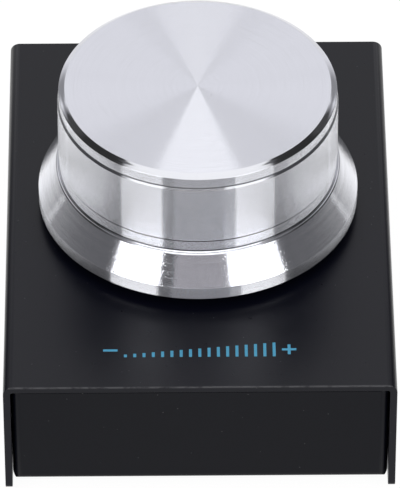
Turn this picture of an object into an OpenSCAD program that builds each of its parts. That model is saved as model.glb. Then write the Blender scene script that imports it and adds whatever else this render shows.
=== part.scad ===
// Desktop volume knob: a turned aluminium dial on a folded sheet-metal box.
// Millimetres, +Z up, -Y is the front. The origin lies on the desk, under the middle of the box.
// The dial turns without end on a rotary encoder and clicks when it is pressed down.

/* [Cover] */
// Width across the two side flanges
cover_w = 60; // [59:1:72]
// Depth from the front edge to the back edge
cover_d = 82; // [80:1:100]
// Height of the side flanges, from the top face to their lower edge
cover_h = 21.2; // [21:0.2:26]
// Thickness of the folded sheet
sheet_t = 1.1; // [0.8:0.1:1.2]
// Outside radius of the two long bends
cover_bend_r = 1.5; // [1.3:0.1:2.5]
// Radius at the lower corners of the flanges
flange_corner_r = 1; // [0.5:0.1:3]

/* [Tray] */
// Gap between each flange and the tray beside it
side_gap = 0.1; // [0.05:0.05:0.5]
// Gap between the tray's rim and the underside of the cover
rim_rise_gap = 0.3; // [0.1:0.1:0.6]
// How far the front and back panels sit inside the cover's edges
panel_recess = 0.3; // [0:0.1:1]
// How far the tray's underside sits above the flanges' lower edge
tray_lift = 1.6; // [0:0.2:2]
// Outside radius of the bends along the tray's floor
tray_bend_r = 1.3; // [1.2:0.1:2]
// Outside radius of the tray's upright corners
tray_corner_r = 1.4; // [0.4:0.1:2]

/* [Feet] */
// Diameter of a rubber foot
foot_d = 8; // [6:0.5:9]
// Height of a rubber foot
foot_h = 3; // [2:0.5:5]
// Distance from a foot's edge to the tray's sides
foot_margin = 5; // [2:0.5:6]

/* [Dial] */
// Diameter of the rim at the foot of the dial
rim_d = 49.9; // [47:0.1:56]
// Diameter of the dial's barrel
barrel_d = 43.5; // [40:0.1:45]
// Height of the dial
dial_h = 22; // [20:0.5:28]
// Height of the rim's upright band
rim_h = 2.2; // [1:0.2:4]
// Height of the flare above the rim
flare_h = 4.5; // [2:0.1:6]
// Width of the sloped land on top of the flare
land_w = 0.4; // [0.2:0.05:1.5]
// Width of the chamfer round the top face
chamfer_w = 0.95; // [0.3:0.05:2]
// Height of the chamfer round the top face
chamfer_h = 0.6; // [0.2:0.1:2]
// Distance from the top face down to the upper groove
groove_drop = 2.4; // [1.5:0.1:5]
// Width of the upper groove
groove_w = 0.35; // [0.2:0.05:1]
// Width of the turned band between the lower groove and the flare
foot_band_h = 1.85; // [1:0.05:4]
// Gap between the rim and the cover's top face
rim_gap = 1.6; // [1.2:0.1:3]
// Distance of the dial's axis behind the middle of the box
dial_y = 2; // [0:0.5:4]

/* [Encoder] */
// Width of the encoder's frame, left to right
encoder_w = 11.7; // [11.5:0.1:12.5]
// Depth of the encoder's frame, front to back
encoder_d = 12; // [11.6:0.1:13]
// Height of the encoder below the cover, down to the circuit board
encoder_h = 7; // [7:0.25:8]
// Thread diameter of the bushing
bushing_d = 7; // [6.8:0.1:7.4]
// Height of the bushing above the cover's underside
bushing_h = 7; // [5:0.5:8]
// Pitch of the bushing's thread
thread_pitch = 0.75; // [0.5:0.25:1]
// Diameter of the shaft
shaft_d = 6; // [5.8:0.1:6.1]
// Length of the shaft above the cover's underside
shaft_h = 20; // [18:0.5:21]
// Thickness of the shaft across its flat
shaft_flat = 4.5; // [4:0.1:5]
// Length of the flat
flat_h = 12; // [8:0.5:12]
// Travel of the dial when it is pressed
press_travel = 0.5; // [0.3:0.1:0.6]
// Clicks in one turn
detents = 20; // [12:4:24]
// Diameter of the click switch's metal dome
dome_d = 6; // [4:0.5:6.5]
// Height of the click switch's metal dome
dome_h = 0.75; // [0.6:0.05:0.8]

/* [Nut and washer] */
// Width of the nut across its flats
nut_af = 10; // [9:0.5:11]
// Thickness of the nut
nut_t = 2; // [1.5:0.5:3]
// Outside diameter of the washer
washer_d = 11.5; // [10:0.5:13]
// Thickness of the washer
washer_t = 0.5; // [0.3:0.1:1]

/* [Circuit board] */
// Width of the board, left to right
board_w = 44; // [40:1:46]
// Thickness of the board
board_t = 1.6; // [1:0.2:1.6]
// Length of board in front of the dial's axis
board_front = 22; // [20:1:26]
// Gap between the board and the back panel
board_back_gap = 0.7; // [0.4:0.1:1.2]
// Distance from a board screw to the side and front edges
post_inset = 4; // [3.5:0.5:5]
// Distance from the rear board screws to the back edge
rear_post_inset = 15; // [14:1:16]

/* [Socket] */
// Width of the socket's metal shell
socket_w = 7.7; // [7.5:0.1:8]
// Height of the socket's metal shell
socket_h = 3.95; // [3.8:0.05:4.2]
// Length of the socket's metal shell
socket_d = 9.2; // [8:0.2:10]
// How far the socket's mouth sits inside the back panel's face
socket_recess = 0.2; // [0:0.1:0.8]
// Clearance round the socket in the back panel
socket_clear = 0.3; // [0.2:0.1:0.6]

/* [Screws] */
// Thread diameter of the cover, board and floor screws
screw_d = 2.5; // [2:0.1:2.6]
// Head diameter of the countersunk cover screws
sunk_head_d = 4.4; // [4.2:0.1:4.6]
// Length of the cover screws, heads included
cover_screw_len = 6; // [5:0.5:6.5]
// Distance from the cover screws to the cover's front and back edges
cover_screw_inset = 11; // [8:0.5:14]
// Height of the cover screws above the flanges' lower edge
cover_screw_rise = 10.6; // [8:0.2:12]
// Head diameter of the board and floor screws
pan_head_d = 4.6; // [4.2:0.1:5.2]
// Head height of the board and floor screws
pan_head_h = 1.4; // [1:0.1:1.8]
// Gap between the tips of the two screws that meet in a post
post_tip_gap = 1.5; // [0.5:0.1:3]
// Width of the brass posts across their flats
post_af = 5; // [4.5:0.1:5.5]
// Thread diameter of the dial's set screw
set_screw_d = 3; // [2.5:0.5:4]
// Length of the dial's set screw
set_screw_len = 8; // [5:0.5:10]

/* [Hidden] */
$fn = 64;

// Clearances
fit = 0.05;            // round parts that turn or slide in each other
loose = 0.1;           // parts that drop into a hole
over = 1;              // how far a cutting tool runs past the face it cuts
least_bend = 0.2;      // inside radius of a bend whose outside is as tight as the sheet is thick

// Levels, from the desk up
flange_z = foot_h - tray_lift;
top_z = flange_z + cover_h;
ceiling_z = top_z - sheet_t;
floor_z = foot_h + sheet_t;
tray_top_z = ceiling_z - rim_rise_gap;
board_top_z = ceiling_z - encoder_h;
board_z = board_top_z - board_t;
dial_z = top_z + rim_gap;

// Tray and board outlines
tray_w = cover_w - 2 * sheet_t - 2 * side_gap;
tray_d = cover_d - 2 * panel_recess;
back_face_y = tray_d / 2;
board_back_y = back_face_y - sheet_t - board_back_gap;
board_front_y = dial_y - board_front;
post_x = board_w / 2 - post_inset;
post_bite = (board_z - floor_z - post_tip_gap) / 2;
post_ys = [board_front_y + post_inset, board_back_y - rear_post_inset];
foot_x = tray_w / 2 - foot_margin - foot_d / 2;
foot_y = tray_d / 2 - foot_margin - foot_d / 2;
foot_edge = 0.5;       // chamfer round the foot's lower edge

// Cover screws and the nuts clinched into the tray
cover_screw_y = cover_d / 2 - cover_screw_inset;
cover_screw_z = flange_z + cover_screw_rise;
clinch_d = 5.4;
clinch_t = 2;
sunk_recess = 0.7;     // depth of the cross recess in a cover screw

// Dial profile, heights above the foot of the rim
rim_r = rim_d / 2;
barrel_r = barrel_d / 2;
band_step = 0.2;       // the band above the upper groove is turned this much smaller
foot_step = 0.1;       // and the band below the lower groove this much
groove_depth = 0.4;
fine_w = 0.2;          // lower groove and undercut
fine_depth = 0.25;
land_drop = 0.4;
rim_edge = 0.15;
flare_top = rim_h + flare_h;
lip_top = flare_top + land_drop;
low_groove_top = lip_top + foot_band_h + fine_w;
groove_top = dial_h - groove_drop + groove_w / 2;
relief_h = 0.8;        // the underside is relieved inside a flat ring
rim_ring_w = 2.5;
pocket_room = 4;       // room for a socket wrench round the nut
pocket_r = nut_af / 2 + pocket_room;
pocket_clear = 0.5;    // room left over the bushing when the dial is down
pocket_top = ceiling_z + bushing_h + press_travel + pocket_clear - dial_z;
bore_r = shaft_d / 2 + fit;
bore_clear = 0.3;      // room over the shaft's end
bore_top = ceiling_z + shaft_h + bore_clear - dial_z;
set_screw_z = ceiling_z + shaft_h - flat_h / 2;
flat_y = shaft_flat - shaft_d / 2;
access_r = set_screw_d / 2 + 0.3;
access_gap = 0.5;      // thread left behind the set screw before its hole widens
set_screw_tip = 0.7;   // height of the set screw's cone point

// Encoder levels, measured down from the cover's underside
frame_t = 0.5;
collar_t = 0.7;
clip_t = 0.35;
rotor_t = 1.2;
code_t = 0.15;
brush_h = 0.6;
base_floor_t = 0.6;
housing_floor_t = 0.8;
collar_z = -frame_t - collar_t;
clip_z = collar_z - fit - clip_t;
rotor_top = clip_z - press_travel - loose;
rotor_z = rotor_top - rotor_t;
code_z = rotor_z - code_t;
brush_top = code_z - fit;
base_floor_top = brush_top - brush_h;
base_z = base_floor_top - base_floor_t;
shaft_end = rotor_z - loose;
dome_z = -encoder_h + housing_floor_t;
plunger_z = dome_z + dome_h + fit;

// Encoder radii and widths
rotor_r = 4.5;
chamber_gap = 0.15;
chamber_r = rotor_r + chamber_gap;
base_inset = 0.3;      // the base is this much shorter than the frame, front and back
base_w = encoder_w - 2 * frame_t - 2 * fit;
base_d = encoder_d - 2 * base_inset;
collar_r = rotor_r;
clip_r = 3.5;
clip_seat_r = 2.3;
spring_t = 0.15;
spring_in_r = 3.7;
bump_r = 0.38;
bump_at = 4.08;
drive_r = 2.6;         // two-flatted end of the shaft, which drives the rotor
drive_flat = 1.9;
plunger_r = 1.5;
plunger_flange_r = 2.2;
plunger_flange_t = 0.3;
notch_r = 0.3;
code_edge = 0.1;       // the code disc is this much smaller than the rotor
code_bore_gap = 0.2;
code_slot = [0.9, 0.5];
code_slot_at = 3.7;
clip_mouth = 2.6;
shaft_edge = 0.4;
brush_at = 3.3;        // distance of a brush from the axis
brush_w = 0.7;
brush_t = 0.15;
brush_back = 0.5;      // how far a brush reaches behind its upright, at the top
brush_front = 0.9;     // and how far its foot reaches in front
bushing_plain = 0.5;   // plain length of the bushing under its thread
dome_t = 0.12;
dome_pocket_gap = 0.3;
thread_depth = 0.3;
lug_w = 2;
lug_drop = 1.2;
leg_w = 8;
pin_w = 0.9;
pin_t = 0.3;
pin_out = 1.8;         // distance of the pins from the encoder's base
pin_pitch = 2.5;
pin_drop = 1.4;        // how far the pins reach below the board
pin_top = -5;
pin_hole_r = 0.6;

// Socket
shell_t = 0.3;
shell_chamfer = 1.1;
socket_back_y = back_face_y - socket_recess - socket_d;
socket_z = board_z - socket_h;
cutout_corner = 0.6;
tab_size = [1.2, 1.6]; // soldering tabs on the shell's sides
tab_places = [0.12, 0.62];
tongue_w = 5;
tongue_t = 1.1;
tongue_setback = 1;    // the tongue ends this far inside the mouth
plug_stop = 3;         // solid plastic at the back of the socket
contact_w = 0.3;
contact_t = 0.2;
contact_pitch = 0.8;
contact_tail = 1.2;
contact_setback = 1.6;

// Board parts
chip_w = 12.8;
chip_d = 7.5;
chip_h = 2.3;
chip_lift = 0.15;
chip_slant = 0.25;     // the moulded sides lean in this much
chip_dot_d = 0.8;
chip_dot_inset = 0.7;
chip_dot_depth = 0.1;
chip_ahead = 14.2;     // distance of the chip in front of the dial's axis
chip_y = dial_y - chip_ahead;
leads_a_side = 10;
lead_pitch = 1.27;
lead_w = 0.4;
lead_t = 0.25;
lead_reach = 1.3;
crystal_w = 10.6;
crystal_d = 4.2;
crystal_h = 3.4;
crystal_brim = 0.4;
crystal_brim_t = 0.6;
crystal_from_axis = [11.5, 12];
can_d = 5;
can_h = 5.2;
can_base = 5.3;
can_base_t = 0.8;
can_base_cut = 1.2;
can_from_axis = [-12, 12];
can_bead_z = 0.9;      // rolled bead round the can
can_bead = 0.2;
can_edge = 0.3;
small_part = [2, 1.25];
capacitor_h = 0.9;
resistor_h = 0.5;
capacitor_spots = [[-9, -8], [9.5, -8], [-9, -17], [9.5, -17], [5, 14]];
resistor_spots = [[-12.5, -3], [-12.5, 1], [12.5, -3], [12.5, 1], [12.5, 5], [-4, 14]];

// ---------------------------------------------------------------- helpers

// Stretches a flat shape along Y: its own y becomes Z
module along_y(length) rotate([90, 0, 0]) linear_extrude(length, center = true) children();

// Stretches a flat shape along X: its own x becomes Y and its own y becomes Z
module along_x(length) rotate([90, 0, 90]) linear_extrude(length, center = true) children();

// Rectangle about the origin with four round corners
module rounded_rect(w, d, r) {
    square([w - 2 * r, d], center = true);
    square([w, d - 2 * r], center = true);
    for (x = [-1, 1], y = [-1, 1]) translate([x * (w / 2 - r), y * (d / 2 - r)]) circle(r);
}

// Rectangle standing on y = 0 whose two lower corners are round
module round_footed(w, h, r) {
    translate([-w / 2, r]) square([w, h - r]);
    translate([r - w / 2, 0]) square([w - 2 * r, h]);
    for (x = [-1, 1]) translate([x * (w / 2 - r), r]) circle(r);
}

// Flat hexagon, by its width across the flats
module hexagon(across) circle(across / 2 / cos(30), $fn = 6);

// Ring about the Z axis
module ring(outer, inner, h) linear_extrude(h) difference() {
    circle(outer);
    circle(inner);
}

// Moves to the dial's axis
module at_axis() translate([0, dial_y, 0]) children();

// Moves to the encoder's mounting face, on the dial's axis
module at_encoder() translate([0, dial_y, ceiling_z]) children();

// Repeats at the four feet
module at_feet() for (x = [-1, 1], y = [-1, 1]) translate([x * foot_x, y * foot_y, 0]) children();

// Repeats at the four board posts
module at_posts() for (x = [-1, 1], y = post_ys) translate([x * post_x, y, 0]) children();

// Repeats at the four cover screws, with +Z pointing out of the flange and 0 on its outer face
module at_cover_screws() for (side = [-1, 1], y = [-1, 1])
    translate([side * cover_w / 2, y * cover_screw_y, cover_screw_z])
        rotate([0, side * 90, 0]) children();

// ---------------------------------------------------------------- sheet metal

// Cover's section across the box: a channel, open at the foot
module cover_section() {
    inner_r = max(cover_bend_r - sheet_t, least_bend);
    translate([0, top_z]) mirror([0, 1]) difference() {
        round_footed(cover_w, cover_h, cover_bend_r);
        translate([0, sheet_t]) round_footed(cover_w - 2 * sheet_t, cover_h, inner_r);
    }
}

module top_cover() color("#2c2d30") difference() {
    intersection() {
        along_y(cover_d) cover_section();
        translate([0, 0, flange_z]) along_x(cover_w + 2 * over)
            round_footed(cover_d, cover_h + over, flange_corner_r);
    }
    at_encoder() translate([0, 0, -over]) cylinder(r = bushing_d / 2 + loose, h = sheet_t + 2 * over);
    at_cover_screws() sunk_hole();
}

// Countersunk hole through one flange
module sunk_hole() {
    cone_h = (sunk_head_d - screw_d) / 2;
    translate([0, 0, -sheet_t - over]) cylinder(r = screw_d / 2 + loose, h = sheet_t + 2 * over);
    translate([0, 0, -cone_h]) cylinder(r1 = screw_d / 2 + fit, r2 = sunk_head_d / 2 + fit, h = cone_h);
    cylinder(r = sunk_head_d / 2 + fit, h = over);
}

// Solid block of the tray's outline, shrunk by inset on every side but the top
module tray_block(inset, h) {
    w = tray_w - 2 * inset;
    d = tray_d - 2 * inset;
    bend = max(tray_bend_r - inset, least_bend);
    corner = max(tray_corner_r - inset, least_bend);
    translate([0, 0, foot_h + inset]) intersection() {
        along_y(d) round_footed(w, h, bend);
        along_x(w) round_footed(d, h, bend);
        linear_extrude(h) rounded_rect(w, d, corner);
    }
}

module bottom_tray() color("#26272a") difference() {
    tray_block(0, tray_top_z - foot_h);
    tray_block(sheet_t, tray_top_z - foot_h + over);
    translate([0, back_face_y - sheet_t / 2, socket_z + socket_h / 2]) along_y(2 * sheet_t)
        rounded_rect(socket_w + 2 * socket_clear, socket_h + 2 * socket_clear, cutout_corner);
    at_posts() translate([0, 0, foot_h - over]) cylinder(r = screw_d / 2 + loose, h = sheet_t + 2 * over);
    at_cover_screws() translate([0, 0, -sheet_t * 2 - side_gap - over])
        cylinder(r = screw_d / 2 + loose, h = sheet_t + side_gap + over);
}

// ---------------------------------------------------------------- fixings and feet

module cover_screws() color("#1d1d1f") at_cover_screws() difference() {
    cone_h = (sunk_head_d - screw_d) / 2;
    union() {
        translate([0, 0, -cover_screw_len]) cylinder(d = screw_d, h = cover_screw_len);
        translate([0, 0, -cone_h]) cylinder(d1 = screw_d, d2 = sunk_head_d, h = cone_h);
    }
    cross_recess(sunk_head_d * 0.6, sunk_recess);
}

// Cross-shaped recess cut down from z = 0
module cross_recess(span, depth) translate([0, 0, -depth]) linear_extrude(depth + over) {
    square([span, span / 4], center = true);
    square([span / 4, span], center = true);
}

module clinch_nuts() color("#b9bcc0") at_cover_screws()
    translate([0, 0, -sheet_t * 2 - side_gap - clinch_t])
        ring(clinch_d / 2, screw_d / 2 + fit, clinch_t);

module rubber_feet() color("#202124") at_feet() rotate_extrude() polygon([
    [0, 0],
    [foot_d / 2 - foot_edge, 0],
    [foot_d / 2, foot_edge],
    [foot_d / 2, foot_h],
    [0, foot_h]
]);

// Pan-head screw standing on z = 0 with its thread below, length long under the head
module pan_screw(length) difference() {
    rotate_extrude() polygon([
        [0, pan_head_h],
        [pan_head_d / 2 - pan_head_h / 2, pan_head_h],
        [pan_head_d / 2, pan_head_h / 2],
        [pan_head_d / 2, 0],
        [screw_d / 2, 0],
        [screw_d / 2, -length],
        [0, -length]
    ]);
    translate([0, 0, pan_head_h]) cross_recess(pan_head_d * 0.5, pan_head_h * 0.6);
}

module board_screws() color("#c3c6ca") at_posts() translate([0, 0, board_top_z])
    pan_screw(board_t + post_bite);

module floor_screws() color("#1d1d1f") at_posts() translate([0, 0, foot_h])
    rotate([180, 0, 0]) pan_screw(sheet_t + post_bite);

module board_posts() color("#c9a648") at_posts() translate([0, 0, floor_z])
    linear_extrude(board_z - floor_z) difference() {
        hexagon(post_af);
        circle(screw_d / 2 + fit);
    }

// ---------------------------------------------------------------- circuit board

module circuit_board() color("#1f6b3a") difference() {
    translate([-board_w / 2, board_front_y, board_z])
        cube([board_w, board_back_y - board_front_y, board_t]);
    translate([0, 0, board_z - over]) linear_extrude(board_t + 2 * over) {
        at_posts() circle(screw_d / 2 + loose);
        at_axis() {
            for (x = [-1, 1]) translate([x * (encoder_w - frame_t) / 2, 0])
                square([frame_t + 2 * loose, lug_w + 2 * loose], center = true);
            front_pins() circle(pin_hole_r);
            back_pins() circle(pin_hole_r);
        }
    }
}

// Repeats at the three encoder pins in front of the axis
module front_pins() for (i = [-1:1]) translate([i * pin_pitch, -base_d / 2 - pin_out]) children();

// Repeats at the two switch pins behind the axis
module back_pins() for (i = [-1, 1]) translate([i * pin_pitch, base_d / 2 + pin_out]) children();

module controller_chip() color("#222326") translate([0, chip_y, board_top_z + chip_lift + chip_h / 2])
    difference() {
        cube([chip_w, chip_d, chip_h], center = true);
        translate([chip_dot_inset - chip_w / 2, chip_dot_inset - chip_d / 2, chip_h / 2 - chip_dot_depth])
            cylinder(d = chip_dot_d, h = over);
        for (y = [-1, 1], up = [0, 1]) translate([0, y * chip_d / 2, 0]) mirror([0, y < 0 ? 1 : 0, 0])
            mirror([0, 0, up]) rotate([90, 0, 90]) linear_extrude(chip_w + over, center = true)
                polygon([[fit, lead_t], [fit, chip_h / 2 + fit], [-chip_slant, chip_h / 2 + fit]]);
    }

// Gull-wing lead seen from the side: x runs out from the chip, y up from the board
function lead_outline(top) = [
    [0, top], [lead_reach * 0.35, top], [lead_reach * 0.6, lead_t], [lead_reach, lead_t],
    [lead_reach, 0], [lead_reach * 0.45, 0], [lead_reach * 0.2, top - lead_t], [0, top - lead_t]
];

module chip_leads() color("#c7c9cc") translate([0, chip_y, board_top_z])
    for (side = [0, 1], i = [0 : leads_a_side - 1]) mirror([0, side, 0])
        translate([(i - (leads_a_side - 1) / 2) * lead_pitch, chip_d / 2, 0]) rotate([90, 0, 90])
            linear_extrude(lead_w, center = true)
                polygon(lead_outline(chip_lift + (chip_h + lead_t) / 2));

// Moves to a place on the board given from the dial's axis
module at_board(place) translate([place[0], dial_y + place[1], board_top_z]) children();

// Flat oval, its length along X
module oval(w, d) {
    square([w - d, d], center = true);
    for (x = [-1, 1]) translate([x * (w - d) / 2, 0]) circle(d / 2);
}

module crystal() color("#c9ccd0") at_board(crystal_from_axis) {
    linear_extrude(crystal_brim_t) oval(crystal_w + 2 * crystal_brim, crystal_d + 2 * crystal_brim);
    linear_extrude(crystal_h) oval(crystal_w, crystal_d);
}

module capacitor_base() color("#222326") at_board(can_from_axis)
    linear_extrude(can_base_t) difference() {
        square(can_base, center = true);
        for (y = [-1, 1]) translate([can_base / 2, y * can_base / 2]) rotate(45)
            square(can_base_cut, center = true);
    }

module bulk_capacitor() color("#c9ccd0") at_board(can_from_axis) translate([0, 0, can_base_t])
    rotate_extrude() polygon([
        [0, 0],
        [can_d / 2, 0],
        [can_d / 2, can_bead_z - can_bead],
        [can_d / 2 - can_bead, can_bead_z],
        [can_d / 2, can_bead_z + can_bead],
        [can_d / 2, can_h - can_base_t - can_edge],
        [can_d / 2 - can_edge, can_h - can_base_t],
        [0, can_h - can_base_t]
    ]);

// Small two-ended parts standing on the board, at spots given from the dial's axis
module small_parts(spots, h) for (spot = spots) at_board(spot)
    linear_extrude(h) square(small_part, center = true);

module chip_capacitors() color("#b59a70") small_parts(capacitor_spots, capacitor_h);

module chip_resistors() color("#2a2b2e") small_parts(resistor_spots, resistor_h);

// ---------------------------------------------------------------- socket

// Socket outline: x across, y up, with the two lower corners cut off
module socket_outline(inset) {
    half = socket_w / 2 - inset;
    cut = shell_chamfer - inset * 0.4;
    polygon([
        [-half, socket_h - inset], [half, socket_h - inset],
        [half, inset + cut], [half - cut, inset], [cut - half, inset], [-half, inset + cut]
    ]);
}

// Moves to the back end of the socket and stretches a flat outline towards its mouth
module socket_run(from, to) translate([0, socket_back_y + (from + to) / 2, socket_z])
    along_y(to - from) children();

module socket_shell() color("#c3c6ca") {
    socket_run(0, socket_d) difference() {
        socket_outline(0);
        socket_outline(shell_t);
    }
    for (x = [-1, 1], y = tab_places) translate([
        x * (socket_w + tab_size[0]) / 2, socket_back_y + y * socket_d, board_z - shell_t / 2
    ]) cube([tab_size[0], tab_size[1], shell_t], center = true);
}

module socket_tongue() color("#1b1c1e") {
    socket_run(0, plug_stop) socket_outline(shell_t + fit);
    socket_run(0, socket_d - tongue_setback) translate([0, socket_h / 2])
        square([tongue_w, tongue_t], center = true);
}

module socket_contacts() color("#d0a83e") for (i = [-2:2]) translate([i * contact_pitch, 0, 0]) {
    socket_run(plug_stop, socket_d - contact_setback)
        translate([0, (socket_h + tongue_t + contact_t) / 2]) square([contact_w, contact_t], center = true);
    socket_run(-contact_tail, 0) translate([0, socket_h - contact_t / 2])
        square([contact_w, contact_t], center = true);
}

// ---------------------------------------------------------------- encoder, still parts

module encoder_frame() color("#c3c6ca") at_encoder() {
    translate([0, 0, -frame_t]) linear_extrude(frame_t) difference() {
        square([encoder_w, encoder_d], center = true);
        circle(bushing_d / 2 + fit);
    }
    for (x = [-1, 1]) translate([x * (encoder_w - frame_t) / 2, 0, 0]) {
        translate([0, 0, -encoder_h / 2]) cube([frame_t, leg_w, encoder_h], center = true);
        translate([-frame_t / 2, -lug_w / 2, -encoder_h - board_t - lug_drop])
            cube([frame_t, lug_w, encoder_h + board_t + lug_drop]);
    }
}

// Saw-tooth thread between two heights, as points of a turned profile, from the top down
function thread_profile(r, top, foot) = [
    for (i = [0 : floor((top - foot) / thread_pitch) - 1])
        for (p = [[r - thread_depth, 0], [r, thread_pitch / 2]]) [p[0], top - i * thread_pitch - p[1]]
];

module encoder_bushing() color("#b9bcc0") at_encoder() rotate_extrude() polygon(concat(
    [[bore_r, bushing_h]],
    thread_profile(bushing_d / 2, bushing_h, bushing_plain),
    [
        [bushing_d / 2, bushing_plain],
        [bushing_d / 2, -frame_t],
        [collar_r, -frame_t],
        [collar_r, collar_z],
        [bore_r, collar_z]
    ]
));

module encoder_base() color("#1b1c1e") at_encoder() difference() {
    translate([0, 0, base_z]) linear_extrude(-frame_t - base_z) square([base_w, base_d], center = true);
    translate([0, 0, base_floor_top]) cylinder(r = chamber_r, h = -base_floor_top);
    translate([0, 0, base_z - over]) cylinder(r = plunger_r + 2 * fit, h = base_floor_t + 2 * over);
}

// Bent pin: x runs out from the encoder's side, y down to below the board
function pin_outline() = [
    [0, pin_top], [pin_out + pin_t / 2, pin_top],
    [pin_out + pin_t / 2, -encoder_h - board_t - pin_drop],
    [pin_out - pin_t / 2, -encoder_h - board_t - pin_drop],
    [pin_out - pin_t / 2, pin_top - pin_t], [0, pin_top - pin_t]
];

module encoder_terminals() color("#c7c9cc") at_encoder() {
    for (i = [-1:1]) mirror([0, 1, 0]) one_pin(i);
    for (i = [-1, 1]) one_pin(i);
}

module one_pin(i) translate([i * pin_pitch, base_d / 2, 0])
    along_x(pin_w) polygon(pin_outline());

module encoder_brushes() color("#d0a83e") at_encoder() for (i = [0:2]) rotate(i * 120 + 30)
    translate([0, brush_at, base_floor_top]) along_x(brush_w) polygon([
        [0, 0], [brush_front, 0], [brush_front, brush_t], [brush_t, brush_t],
        [brush_t, brush_h], [-brush_back, brush_h], [-brush_back, brush_h - brush_t], [0, brush_h - brush_t]
    ]);

module detent_spring() color("#c7c9cc") at_encoder() {
    translate([0, 0, collar_z - spring_t]) ring(collar_r, spring_in_r, spring_t);
    for (x = [-1, 1]) translate([x * bump_at, 0, 0]) {
        translate([0, 0, rotor_top + fit + bump_r])
            cylinder(r = bump_r, h = collar_z - spring_t - rotor_top - fit - bump_r);
        translate([0, 0, rotor_top + fit + bump_r]) sphere(bump_r);
    }
}

module switch_housing() color("#33353a") at_encoder() difference() {
    translate([0, 0, -encoder_h]) linear_extrude(base_z + encoder_h)
        square([base_w, base_d], center = true);
    translate([0, 0, dome_z]) cylinder(r = dome_d / 2 + dome_pocket_gap, h = encoder_h);
}

module switch_dome() color("#c9ccd0") {
    // Sphere whose cap is dome_h high on a dome_d circle
    cap_r = (pow(dome_d / 2, 2) + pow(dome_h, 2)) / (2 * dome_h);
    at_encoder() translate([0, 0, dome_z]) intersection() {
        translate([0, 0, dome_h - cap_r]) difference() {
            sphere(cap_r);
            sphere(cap_r - dome_t);
        }
        cylinder(r = dome_d, h = dome_h + over);
    }
}

module mounting_washer() color("#c3c6ca") at_axis() translate([0, 0, top_z])
    ring(washer_d / 2, bushing_d / 2 + loose, washer_t);

module mounting_nut() color("#c3c6ca") at_axis() translate([0, 0, top_z + washer_t]) intersection() {
    corner_r = nut_af / 2 / cos(30);
    edge = corner_r - nut_af / 2;
    linear_extrude(nut_t) difference() {
        hexagon(nut_af);
        circle(bushing_d / 2 + fit);
    }
    rotate_extrude() polygon([
        [0, 0], [corner_r, 0], [corner_r, nut_t - edge / 2], [nut_af / 2, nut_t], [0, nut_t]
    ]);
}

// ---------------------------------------------------------------- encoder, moving parts

// Two-flatted outline of the shaft's driving end, grown by gap
module drive_outline(gap) intersection() {
    circle(drive_r + gap);
    square([2 * (drive_flat + gap), 4 * drive_r], center = true);
}

module encoder_rotor() color("#e8e4d8") at_encoder() difference() {
    translate([0, 0, rotor_z]) linear_extrude(rotor_t) difference() {
        circle(rotor_r);
        drive_outline(fit);
    }
    for (i = [0 : detents - 1]) rotate(i * 360 / detents)
        translate([spring_in_r - chamber_gap, 0, rotor_top + notch_r / 2])
            rotate([0, 90, 0]) cylinder(r = notch_r, h = rotor_r);
}

module code_disc() color("#d0a83e") at_encoder() translate([0, 0, code_z]) linear_extrude(code_t)
    difference() {
        circle(rotor_r - code_edge);
        circle(drive_r + code_bore_gap);
        for (i = [0 : detents - 1]) rotate((i + 0.5) * 360 / detents) translate([code_slot_at, 0])
            square(code_slot, center = true);
    }

module encoder_shaft() color("#b9bcc0") at_encoder() difference() {
    union() {
        rotate_extrude() polygon([
            [0, shaft_h],
            [shaft_d / 2 - shaft_edge, shaft_h],
            [shaft_d / 2, shaft_h - shaft_edge],
            [shaft_d / 2, clip_z + clip_t + fit / 2],
            [clip_seat_r, clip_z + clip_t + fit / 2],
            [clip_seat_r, clip_z - fit / 2],
            [0, clip_z - fit / 2]
        ]);
        translate([0, 0, shaft_end]) linear_extrude(clip_z - shaft_end) drive_outline(0);
    }
    translate([-shaft_d, flat_y, shaft_h - flat_h]) cube([2 * shaft_d, shaft_d, flat_h + over]);
}

module retaining_clip() color("#8f9296") at_encoder() translate([0, 0, clip_z]) linear_extrude(clip_t)
    difference() {
        circle(clip_r);
        circle(clip_seat_r + fit);
        translate([0, clip_r]) square([clip_mouth, 2 * clip_r], center = true);
    }

module switch_plunger() color("#e8e4d8") at_encoder() rotate_extrude() polygon([
    [0, shaft_end - fit],
    [plunger_r, shaft_end - fit],
    [plunger_r, base_z - fit],
    [plunger_flange_r, base_z - fit],
    [plunger_flange_r, base_z - fit - plunger_flange_t],
    [plunger_r * 0.7, plunger_z],
    [0, plunger_z]
]);

// ---------------------------------------------------------------- dial

function dial_outline() = [
    [0, dial_h],
    [barrel_r - band_step - chamfer_w, dial_h],
    [barrel_r - band_step, dial_h - chamfer_h],
    [barrel_r - band_step, groove_top],
    [barrel_r - groove_depth, groove_top],
    [barrel_r - groove_depth, groove_top - groove_w],
    [barrel_r, groove_top - groove_w],
    [barrel_r, low_groove_top],
    [barrel_r - fine_depth, low_groove_top],
    [barrel_r - fine_depth, low_groove_top - fine_w],
    [barrel_r - foot_step, low_groove_top - fine_w],
    [barrel_r - foot_step, lip_top + fine_w],
    [barrel_r - foot_step - fine_depth, lip_top + fine_w],
    [barrel_r - foot_step - fine_depth, lip_top],
    [barrel_r, lip_top],
    [barrel_r + land_w, flare_top],
    [rim_r, rim_h],
    [rim_r, rim_edge],
    [rim_r - rim_edge, 0],
    [rim_r - rim_ring_w, 0],
    [rim_r - rim_ring_w, relief_h],
    [pocket_r, relief_h],
    [pocket_r, pocket_top],
    [bore_r, pocket_top],
    [bore_r, bore_top],
    [0, bore_top]
];

module dial() color("#d7d9de") at_axis() difference() {
    translate([0, 0, dial_z]) rotate_extrude() polygon(dial_outline());
    translate([0, 0, set_screw_z]) rotate([-90, 0, 0]) {
        cylinder(d = set_screw_d, h = rim_r);
        translate([0, 0, flat_y + set_screw_len + access_gap]) cylinder(r = access_r, h = rim_r);
    }
}

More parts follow.
